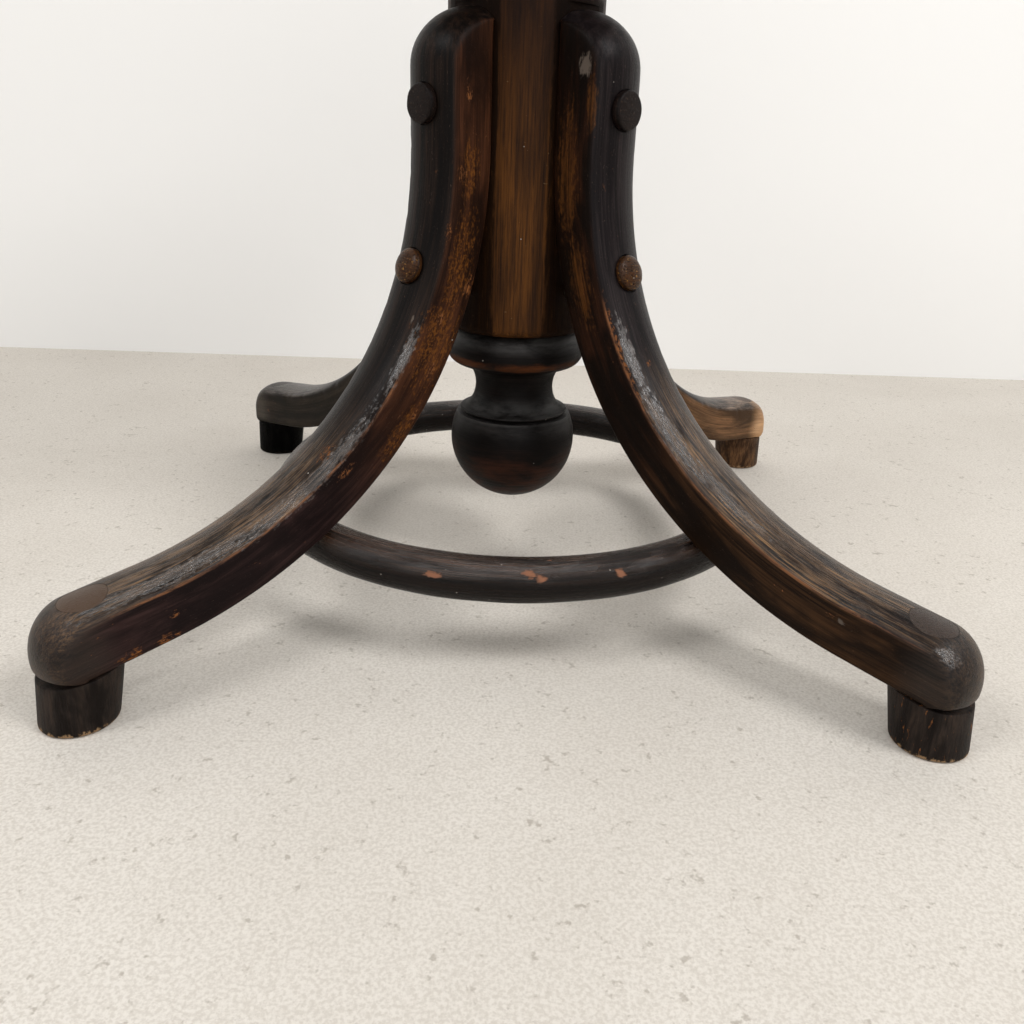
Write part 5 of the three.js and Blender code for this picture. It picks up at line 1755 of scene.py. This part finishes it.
    def ring(self) -> None:
        """The ring stretcher and the screws that hold it to the legs."""
        finish = RING_FINISH.made()
        made = through(new_object("ring_stretcher_bent", bpy.data.meshes.new("ring")), bent_ring(), {
            "Ring Radius": self.ring_centre.x * MM, "Rod Radius": self.ring_rod * MM,
            "Height": self.ring_centre.z * MM, "Side Tuck": self.ring_tuck * MM,
            "Front Bulge": self.ring_bulge * MM, "Material": finish})
        uneven(face_out(made), 0.35, 22, 3.0)
        carve(made, each_way(self.on_ring(self.ring_screw.hole()), Corner))
        lay(made, "grain", self.ring_grain)
        dress(made, finish, "base", ["ring_stretcher"])
        steel = STEEL.made()
        self.about_post(self.on_ring(self.ring_screw.made("ring_screws_slotted")), steel, "screw_steel", "ring_screw")
        for corner in Corner:
            for level in ("upper", "lower"):
                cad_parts[f"leg_screw_{level}_{corner.place}"].material_slots[0].material = steel

    def ring_grain(self, point: Vector, _: Vector) -> Triple:
        """A point of the ring as metres round it from the front, outward from the rod's middle and upward.

        Args:
            point: The point.

        Returns:
            The three lengths.
        """
        mean = self.ring_centre.x
        share = math.cos(2 * math.atan2(point.y, point.x))
        sway = (-self.ring_tuck if share > 0 else self.ring_bulge) * share * share
        return (math.atan2(point.x, -point.y) * mean * MM, (math.hypot(point.x, point.y) - mean - sway) * MM,
                (point.z - self.ring_centre.z) * MM)

    def post_outline(self) -> list[Pair]:
        """The post's outline, from its rounded foot past a quirked bead to its hollow capital."""
        r, top, foot = self.post_radius, self.post_top, self.post_round
        inner = r - self.quirk
        quirk = self.leg.top + 30
        bead = quirk + 4
        cove = bead + 2 * self.bead[1]
        edge = top - 14
        return [(0, self.post_bottom), *arc((r - foot, self.post_bottom + foot), (foot, foot), -90, 0, 8),
                (r, quirk - self.quirk), (inner, quirk), (inner, bead),
                *arc((inner, bead + self.bead[1]), self.bead, -70, 70, 12), (inner, cove),
                *arc((self.cove, cove), (self.cove - inner, edge - cove), 180, 112, 10), (41.25, edge),
                (43, edge + 1.75), *arc((39.5, top - 3.5), (3.5, 3.5), 0, 90, 8), (0, top)]

    def housing(self) -> bpy.types.Object:
        """The flat that a leg sits on, at bearing 0, running out in a curve near the foot of the post."""
        flat, deep, sweep = self.post_radius - self.housing_depth, 2 * self.housing_depth, self.housing_sweep
        top = self.leg.top + self.leg.top_crown + 2.5
        low = self.post_bottom + 15
        run = math.degrees(math.acos(1 - deep / sweep))
        outline = [(flat + deep, top), (flat, top), *arc((flat + sweep, low), (sweep, sweep), 180, 180 + run, 10)]
        half = self.leg.width / 2
        return loft("housing", [[Vector((r, y, z)) for r, z in outline] for y in (-half, half)])

    def post(self) -> None:
        """The turned post, with its housings, bores and screw holes."""
        made = lathe("post_turned", spread(self.post_outline(), 6), 144)
        uneven(made, 0.12, 40, 7.0)
        barrel, barrel_height = self.nut_barrel
        nut_bottom = self.post_top + GAP - barrel_height
        tools = [rod("bore", self.spindle_bore, nut_bottom - self.tail_room, self.post_top + 5, 48),
                 rod("bore", barrel + GAP, nut_bottom - GAP, self.post_top + 5, 64),
                 rod("bore", self.tenon[0] + GAP, self.post_bottom - 5, self.post_bottom + self.tenon[1], 48)]
        cutters = (self.housing(), self.upper.cutter(self.leg), self.lower.cutter(self.leg))
        tools += [spun(tool, corner.value) for corner in Corner for tool in cutters]
        for tool in cutters:
            drop(tool)
        radius, depth = self.nut_screw_bore
        tools += each_way(shifted(rod("hole", radius, -depth, 5, 20), self.nut_screw_circle, self.post_top), Side)
        carve(made, tools)
        lay(made, "grain", lambda p, n: p.zxy * MM)
        # Nearness to the legs, where the finish paints dirt and shade.
        lay(made, "edge", self.beside_leg)
        dress(made, POST_FINISH.made(), "base", ["post"])

    def beside_leg(self, point: Vector, _: Vector) -> float:
        """How near a point of the post is to a leg's side, 1 against it and 0 some way off.

        Args:
            point: The point.

        Returns:
            A number from 0 to 1.
        """
        if point.z > self.leg.top + self.leg.top_crown + 6:
            return 0.0
        off = abs((math.degrees(math.atan2(point.y, point.x)) - 45) % 90)
        far = math.radians(min(off, 90 - off)) * self.post_radius - self.leg.width / 2
        return math.exp(-max(0.0, far) / 2.4)

    def finial(self) -> None:
        """The pendant finial: collar, neck, disc, groove and ball."""
        top = self.post_bottom - GAP
        collar = top - self.collar_height
        neck = collar - 7.7
        disc = neck - self.neck_height
        ball = disc - 3 - self.ball * math.sin(math.radians(25))
        half, (tenon, tenon_height) = self.neck_height / 2, self.tenon
        lean = math.radians(65)
        slope = 7 / (1 - math.cos(lean))
        outline = [*arc((0, ball), (self.ball, self.ball), -90, 25, 40), (29.4, disc - 3.2), (28.5, disc - 3),
                   (28.7, disc - 2.4), (29.8, disc - 2.1), (30.3, disc - 1.4), (self.neck_radius, disc - 0.4),
                   *arc((self.neck_radius, disc + half), (8.3, half), 270, 90, 30)[1:], (30.4, neck - 0.1),
                   (30.6, neck + 0.3), *arc((30.5, collar), (self.collar - 30.5, 7.7), -80, 0, 10),
                   *arc((self.collar - slope, collar), (slope, self.collar_height / math.sin(lean)), 0, 65, 14)[1:],
                   (30.6, top), (tenon, top), (tenon, top + tenon_height), (0, top + tenon_height)]
        made = lathe("pendant_finial_turned", outline, 128)
        uneven(made, 0.2, 30, 9.0)

        def rubbed(p: Vector, _: Vector) -> float:
            """How far the collar is rubbed warm, below its widest line."""
            return 0.0 if math.hypot(p.x, p.y) < 30 else math.exp(-(((p.z - collar + 3.2) / 3.0) ** 2))

        lay(made, "grain", lambda p, n: (math.atan2(p.x, -p.y) * 35 * MM, p.z * MM, math.hypot(p.x, p.y) * MM))
        lay(made, "edge", rubbed)
        # How far each point faces up, where the finish lays its grey of dust and painted sheen.
        lay(made, "dust", lambda p, n: min(1.0, max(0.0, (n.z - 0.15) / 0.5)))
        finish = FinialFinish("beech finial, ebonised and dusty", 30.0, ball)
        dress(made, finish.made(), "base", ["pendant_finial"])


# The lift, the seat and the studio


@dataclass
class Lift:
    """The iron nut in the top of the post and the threaded spindle that raises the seat."""

    post_top: float
    lead: float = 8.0
    turns: float = 14.0
    crest: float = 12.0
    root: float = 10.0
    collar_radius: float = 16.0
    collar_height: float = 6.4
    flange_radius: float = 34.0
    flange: float = 5.0
    barrel_radius: float = 20.0
    barrel: float = 33.0
    flat_share: float = 0.16
    flank_share: float = 0.17
    nut_slack: float = 0.4
    screw_circle: float = 27.5
    screw: SmallScrew = field(default_factory=lambda: SmallScrew(25.3))
    tail: Pair = (7.0, 14.0)
    rivet: Pair = (8.0, 9.5)
    washer: Pair = (7.3, 14.6)
    washer_height: float = 3.0
    pin_radius: float = 2.0
    pin_half: float = 12.0
    pin_below: float = 5.3
    plate: float = 5.0

    def __post_init__(self) -> None:
        """Works out the heights of the nut, the washer and the spindle."""
        self.nut_top = self.post_top + GAP + self.flange
        self.nut_bottom = self.post_top + GAP - self.barrel
        self.washer_top = self.nut_bottom - GAP - self.turns * self.lead
        self.thread_bottom = self.washer_top + GAP
        self.tail_bottom = self.thread_bottom - self.tail[1]
        self.collar_bottom = self.nut_top + GAP
        self.plate_bottom = self.collar_bottom + self.collar_height + GAP
        self.plate_top = self.plate_bottom + self.plate

    def thread(self, angle: float, z: float) -> float:
        """The thread's radius at an angle and a height: a right-hand trapezoid."""
        phase = (z / self.lead - angle / math.tau) % 1
        rise = min(1.0, max(0.0, (abs(phase - 0.5) - self.flat_share) / self.flank_share))
        return self.crest - (self.crest - self.root) * rise

    def build(self) -> None:
        """Builds and dresses the nut, its screws, the spindle and its stop."""
        self.nut()
        self.spindle()
        self.stop()

    def nut(self) -> None:
        """The flanged nut, threaded inside, and its four screws."""
        low, high, r, barrel = self.post_top + GAP, self.nut_top, self.flange_radius, self.barrel_radius
        heights = [self.nut_bottom + (high - self.nut_bottom) * i / 66 for i in range(67)]
        loops = [hoop(z, lambda a: self.thread(a, z) + self.nut_slack, 96) for z in heights]
        outline = [(r - 6, high), (r - 1, high), (r - 0.3, high - 0.3), (r, high - 1), (r, low + 0.4), (r - 0.4, low),
                   (barrel, low), (barrel, self.nut_bottom + 1), (barrel - 1, self.nut_bottom)]
        made = loft("spindle_nut_cast", loops + [hoop(z, radius, 96) for radius, z in outline], True)
        carve(made, each_way(shifted(self.screw.hole(), self.screw_circle, high), Side))
        lay(made, "edge", lambda p, n: math.exp(-((math.hypot(p.x, p.y) - r) / 1.2) ** 2))
        dress(made, IRON.made(), "base", ["spindle_nut"])
        set_of_screws("nut", self.screw, "base", {
            "Circle Radius": self.screw_circle * MM, "Height": high * MM, "Seed": 3, "Material": STEEL.made()})

    def spindle(self) -> None:
        """The spindle: tail, thread, collar and the rivet that holds the seat plate."""
        tail, rivet, end = self.tail[0], self.rivet, self.plate_top + GAP
        outline = [(0, self.tail_bottom), (tail - 0.7, self.tail_bottom), (tail, self.tail_bottom + 0.7),
                   (tail, self.thread_bottom), (self.root - 0.1, self.thread_bottom)]
        loops = [hoop(z, radius, 80) for radius, z in outline]
        low, high = self.thread_bottom + 1.2, self.collar_bottom - 3.2
        count = round((high - low) / 0.6)
        for z in (low + (high - low) * i / count for i in range(count + 1)):
            loops.append(hoop(z, lambda a: self.thread(a, z), 80))
        r, bottom, top = self.collar_radius, self.collar_bottom, self.plate_bottom - GAP
        outline = [(self.root, bottom - 2.4), (self.root, bottom), (r - 0.8, bottom), (r, bottom + 0.8), (r, top - 0.8),
                   (r - 0.8, top), (rivet[0], top), (rivet[0], end), (rivet[1], end),
                   *arc((0, end), (rivet[1], 2.7), 8, 90, 8)]
        made = loft("spindle_threaded", loops + [hoop(z, radius, 80) for radius, z in outline])
        carve(made, [self.crossways("hole", self.pin_radius + GAP, 24)])
        lay(made, "edge", lambda p, n: max(0.0, (math.hypot(p.x, p.y) - 11.2) / 0.8) if p.z < bottom - 1 else 0.2)
        dress(made, SPINDLE_STEEL.made(), "seat", ["spindle"])

    def crossways(self, name: str, radius: float, segments: int) -> bpy.types.Object:
        """A rod through the spindle's tail, under the washer: the pin or its hole."""
        turn = Matrix.Rotation(math.radians(90), 4, "Y")
        place = Matrix.Translation((0, 0, (self.washer_top - self.pin_below) * MM))
        return moved(rod(name, radius, -self.pin_half, self.pin_half, segments), place @ turn)

    def stop(self) -> None:
        """The stop washer and the pin that holds it on the spindle's tail."""
        steel = STEEL.made()
        (inner, outer), top, low = self.washer, self.washer_top, self.washer_top - self.washer_height
        washer = lathe("stop_washer_turned", [(inner, low), (outer - 0.4, low), (outer, low + 0.4),
                                              (outer, top - 0.4), (outer - 0.4, top), (inner, top)], 64, True)
        dress(washer, steel, "lift", ["stop_washer"])
        dress(self.crossways("stop_pin_turned", self.pin_radius, 32), steel, "seat", ["stop_pin"])


@dataclass
class Seat:
    """The seat: iron plate, two halved battens, bent rim and moulded panel."""

    lift: Lift
    radius: float = 170.0
    rim_width: float = 34.0
    rim_height: float = 26.0
    rim_round: float = 7.0
    panel_seat: float = 14.0
    panel: float = 5.0
    dish: float = 4.0
    flat_radius: float = 60.0
    batten_height: float = 22.0
    batten_width: float = 42.0
    batten_end: float = 30.0
    batten_soft: float = 1.4
    rivet_room: Pair = (11.0, 3.3)
    plate_radius: float = 56.0
    plate_bore: float = 8.3
    plate_screw_circle: float = 44.0
    plate_screw: SmallScrew = field(default_factory=lambda: SmallScrew(19.3))
    rim_screw: SmallScrew = field(default_factory=lambda: SmallScrew(34.3))

    def __post_init__(self) -> None:
        """Works out the heights of the battens, the rim and the panel."""
        self.batten_bottom = self.lift.plate_top + GAP
        self.batten_top = self.batten_bottom + self.batten_height
        self.rim_bottom = self.batten_top + GAP
        self.rim_top = self.rim_bottom + self.rim_height
        self.inner = self.radius - self.rim_width
        self.panel_radius = self.inner + self.panel_seat
        self.rim_screw_radius = self.radius - self.rim_width / 2

    def build(self) -> None:
        """Builds and dresses every piece of the seat."""
        self.plate()
        self.battens()
        self.rim()
        self.panel_board()
        steel = STEEL.made()
        for name, screw, radius, head in (
                ("plate", self.plate_screw, self.plate_screw_circle, self.lift.plate_bottom),
                ("rim", self.rim_screw, self.rim_screw_radius, self.batten_bottom)):
            set_of_screws(name, screw, "seat", {
                "Circle Radius": radius * MM, "Height": head * MM, "Tilt": math.pi, "Seed": 5, "Material": steel})

    def plate_holes(self) -> list[bpy.types.Object]:
        """The holes for the four screws through the plate."""
        return each_way(shifted(self.plate_screw.hole(True), self.plate_screw_circle, self.lift.plate_bottom), Side)

    def rim_holes(self) -> list[bpy.types.Object]:
        """The holes for the four screws through the battens into the rim."""
        return each_way(shifted(self.rim_screw.hole(True), self.rim_screw_radius, self.batten_bottom), Side)

    def plate(self) -> None:
        """The round iron plate on the spindle."""
        low, high, r, bore = self.lift.plate_bottom, self.lift.plate_top, self.plate_radius, self.plate_bore
        made = lathe("seat_plate_forged", [(bore, low), (r - 1.9, low), (r - 0.6, low + 0.7), (r, low + 1.9),
                                           (r, high - 0.6), (r - 0.6, high), (bore, high)], 112, True)
        carve(made, self.plate_holes())
        lay(made, "edge", lambda p, n: math.exp(-((math.hypot(p.x, p.y) - r) / 1.6) ** 2))
        dress(made, IRON.made(), "seat", ["seat_plate"])

    def battens(self) -> None:
        """The two battens, halved over each other at the middle."""
        finish = BATTEN_FINISH.made()
        half, end, reach = self.batten_width / 2, self.batten_end / 2, self.radius - self.rim_round
        outline = [(-reach, -end), (-self.inner, -half), (self.inner, -half), (reach, -end), (reach, end),
                   (self.inner, half), (-self.inner, half), (-reach, end)]
        notch = self.batten_height / 2 + GAP / 2 + 3
        for name, low, turn in (("lower", self.batten_top + 3 - notch, 0), ("upper", self.batten_bottom - 3, 90)):
            made = loft(f"seat_batten_{name}_halved",
                        [[Vector((x, y, z)) for x, y in outline] for z in (self.batten_bottom, self.batten_top)])
            soft = made.modifiers.new("soft edges", "BEVEL")
            soft.width, soft.segments, soft.limit_method = self.batten_soft * MM, 2, "ANGLE"
            moved(baked(made), Matrix.Rotation(math.radians(turn), 4, "Z"))
            carve(made, [block("notch", (-half - GAP, -half - GAP, low), (half + GAP, half + GAP, low + notch)),
                         rod("rivet", self.rivet_room[0], self.batten_bottom - 2,
                             self.lift.plate_top + self.rivet_room[1]), *self.plate_holes(), *self.rim_holes()])
            lay(made, "grain", lambda p, n: (p.yxz if turn else p) * MM)
            dress(made, finish, "seat", [f"seat_batten_{name}"])

    def rim(self) -> None:
        """The bent rim, rebated for the panel."""
        r, low, high, soft, inside = self.radius, self.rim_bottom, self.rim_top, self.rim_round, self.panel_radius + GAP
        seat = high - self.panel - GAP
        outline = [(self.inner, low), *arc((r - soft, low + soft), (soft, soft), -90, 0, 10),
                   *arc((r - soft, high - soft), (soft, soft), 0, 90, 12), (inside + 0.8, high),
                   (inside, high - 0.8), (inside, seat), (self.inner, seat)]
        made = lathe("seat_rim_bent", outline, 200, True)
        carve(made, self.rim_holes())
        lay(made, "grain", lambda p, n: (math.atan2(p.y, p.x) * 155 * MM, math.hypot(p.x, p.y) * MM, p.z * MM))
        lay(made, "edge", lambda p, n: math.exp(-(((math.hypot(p.x, p.y) - r + 2) ** 2 + (p.z - high + 2) ** 2) / 9)))
        dress(made, RIM_FINISH.made(), "seat", ["seat_rim"])

    def rise(self, r: float) -> float:
        """How high the panel is above its flat middle, at a radius: a ramp whose ends are softened by a mean.

        Args:
            r: The radius.

        Returns:
            The height.
        """
        edge = self.inner - self.panel
        near = [min(self.panel_radius, max(0.0, r + d)) for d in (-6, -3, 0, 3, 6)]
        shares = [min(1.0, max(0.0, (at - self.flat_radius) / (edge - self.flat_radius))) for at in near]
        return sum(self.dish * share for share in shares) / len(near)

    def panel_board(self) -> None:
        """The moulded panel: flat in the middle and rising to its edge."""
        low = self.rim_top - self.dish - self.panel
        radii = [self.panel_radius * i / 60 for i in range(61)]
        made = lathe("seat_panel_moulded", [(r, low + self.rise(r)) for r in radii]
                     + [(r, low + self.panel + self.rise(r)) for r in reversed(radii)], 160)
        lay(made, "grain", lambda p, n: p * MM)
        dress(made, PANEL_FINISH.made(), "seat", ["seat_panel"])


@dataclass
class Studio:
    """The floor, the wall behind, the lamps and the camera at the photograph's place."""

    place: Triple = (1.163, -505.301, 233.647)
    pitch: float = 22.398
    roll: float = -2.036
    pan: float = 0.034
    orbit: float = -0.693
    focal: float = 906.72
    frame_width: float = 1024.0
    room: float = 4000.0
    ceiling: float = 3000.0
    slab: float = 20.0
    wall: float = 500.0
    sky: tuple[str, float] = ("#ffffff", 0.6)
    sensor: float = 36.0
    clip: float = 0.01
    aim: Triple = (0, 0, 0.12)
    lights: tuple[tuple[str, float, float, Triple], ...] = (
        ("key", 15.0, 0.55, (1.06, -0.78, 1.5)), ("left", 9.0, 0.55, (-1.06, -0.78, 1.5)),
        ("front", 9.0, 2.0, (0.4, -2.1, 0.7)))

    def build(self) -> None:
        """Makes the studio."""
        self.floor()
        self.lamps()
        self.camera()

    def floor(self) -> None:
        """A pale concrete floor and a white wall."""
        half = self.room
        mesh = bpy.data.meshes.new("wall")
        corners = [Vector((x, self.wall, z)) * MM for x, z in ((-half, -5), (half, -5), (half, self.ceiling),
                                                               (-half, self.ceiling))]
        mesh.from_pydata(corners, [], [(0, 1, 2, 3)])
        for made, finish in ((block("floor", (-half, -half, -self.slab), (half, half, -GAP)),
                              Concrete("concrete floor, floated and pale", 2.0)),
                             (new_object("wall", mesh), Plaster("plaster wall, painted white", 0.0))):
            made.data.materials.append(finish.made())

    def lamps(self) -> None:
        """A lamp at the right of the front, a weaker one at the left, a wide low one in front, and a pale sky."""
        world = bpy.data.worlds.new("studio")
        world.use_nodes = True
        sky, (colour, strength) = world.node_tree.nodes["Background"].inputs, self.sky
        sky["Color"].default_value, sky["Strength"].default_value = (*linear(colour), 1), strength
        bpy.context.scene.world = world
        for name, power, size, spot in self.lights:
            data = bpy.data.lights.new(name, "AREA")
            data.energy, data.size = power, size
            lamp = bpy.data.objects.new(name, data)
            lamp.location = spot
            lamp.rotation_euler = (Vector(self.aim) - Vector(spot)).to_track_quat("-Z", "Y").to_euler()
            lamp.visible_camera = False
            bpy.context.scene.collection.objects.link(lamp)

    def camera(self) -> None:
        """The camera, from the place, turn and focal length found for the photograph."""
        a, b = math.radians(self.pitch), math.radians(self.pan)
        forward = Vector((math.sin(b) * math.cos(a), math.cos(b) * math.cos(a), -math.sin(a)))
        right = Vector((math.cos(b), -math.sin(b), 0))
        down = forward.cross(right)
        c, s = math.cos(math.radians(self.roll)), math.sin(math.radians(self.roll))
        across, up = c * right + s * down, s * right - c * down
        turn = Matrix((across, up, -forward)).transposed().to_4x4()
        orbit = Matrix.Rotation(math.radians(self.orbit), 4, "Z")
        data = bpy.data.cameras.new("camera")
        data.sensor_width, data.clip_start = self.sensor, self.clip
        data.lens = self.focal * self.sensor / self.frame_width
        eye = new_object("camera", data)
        eye.matrix_world = orbit @ Matrix.Translation(Vector(self.place) * MM) @ turn
        bpy.context.scene.camera = eye


def main() -> None:
    """Builds the stool's pieces in order, then the studio."""
    logging.basicConfig(level=logging.INFO, format="%(message)s")
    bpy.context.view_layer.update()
    bpy.context.scene.view_settings.view_transform = "Standard"
    leg = Leg()
    base = Base(leg, LegScrew(0, (leg.back_radius, leg.top - 36.5)), LegScrew(19, None), Foot())
    base.build()
    lift = Lift(base.post_top)
    lift.build()
    Seat(lift).build()
    Studio().build()


if __name__ == "__main__":
    main()
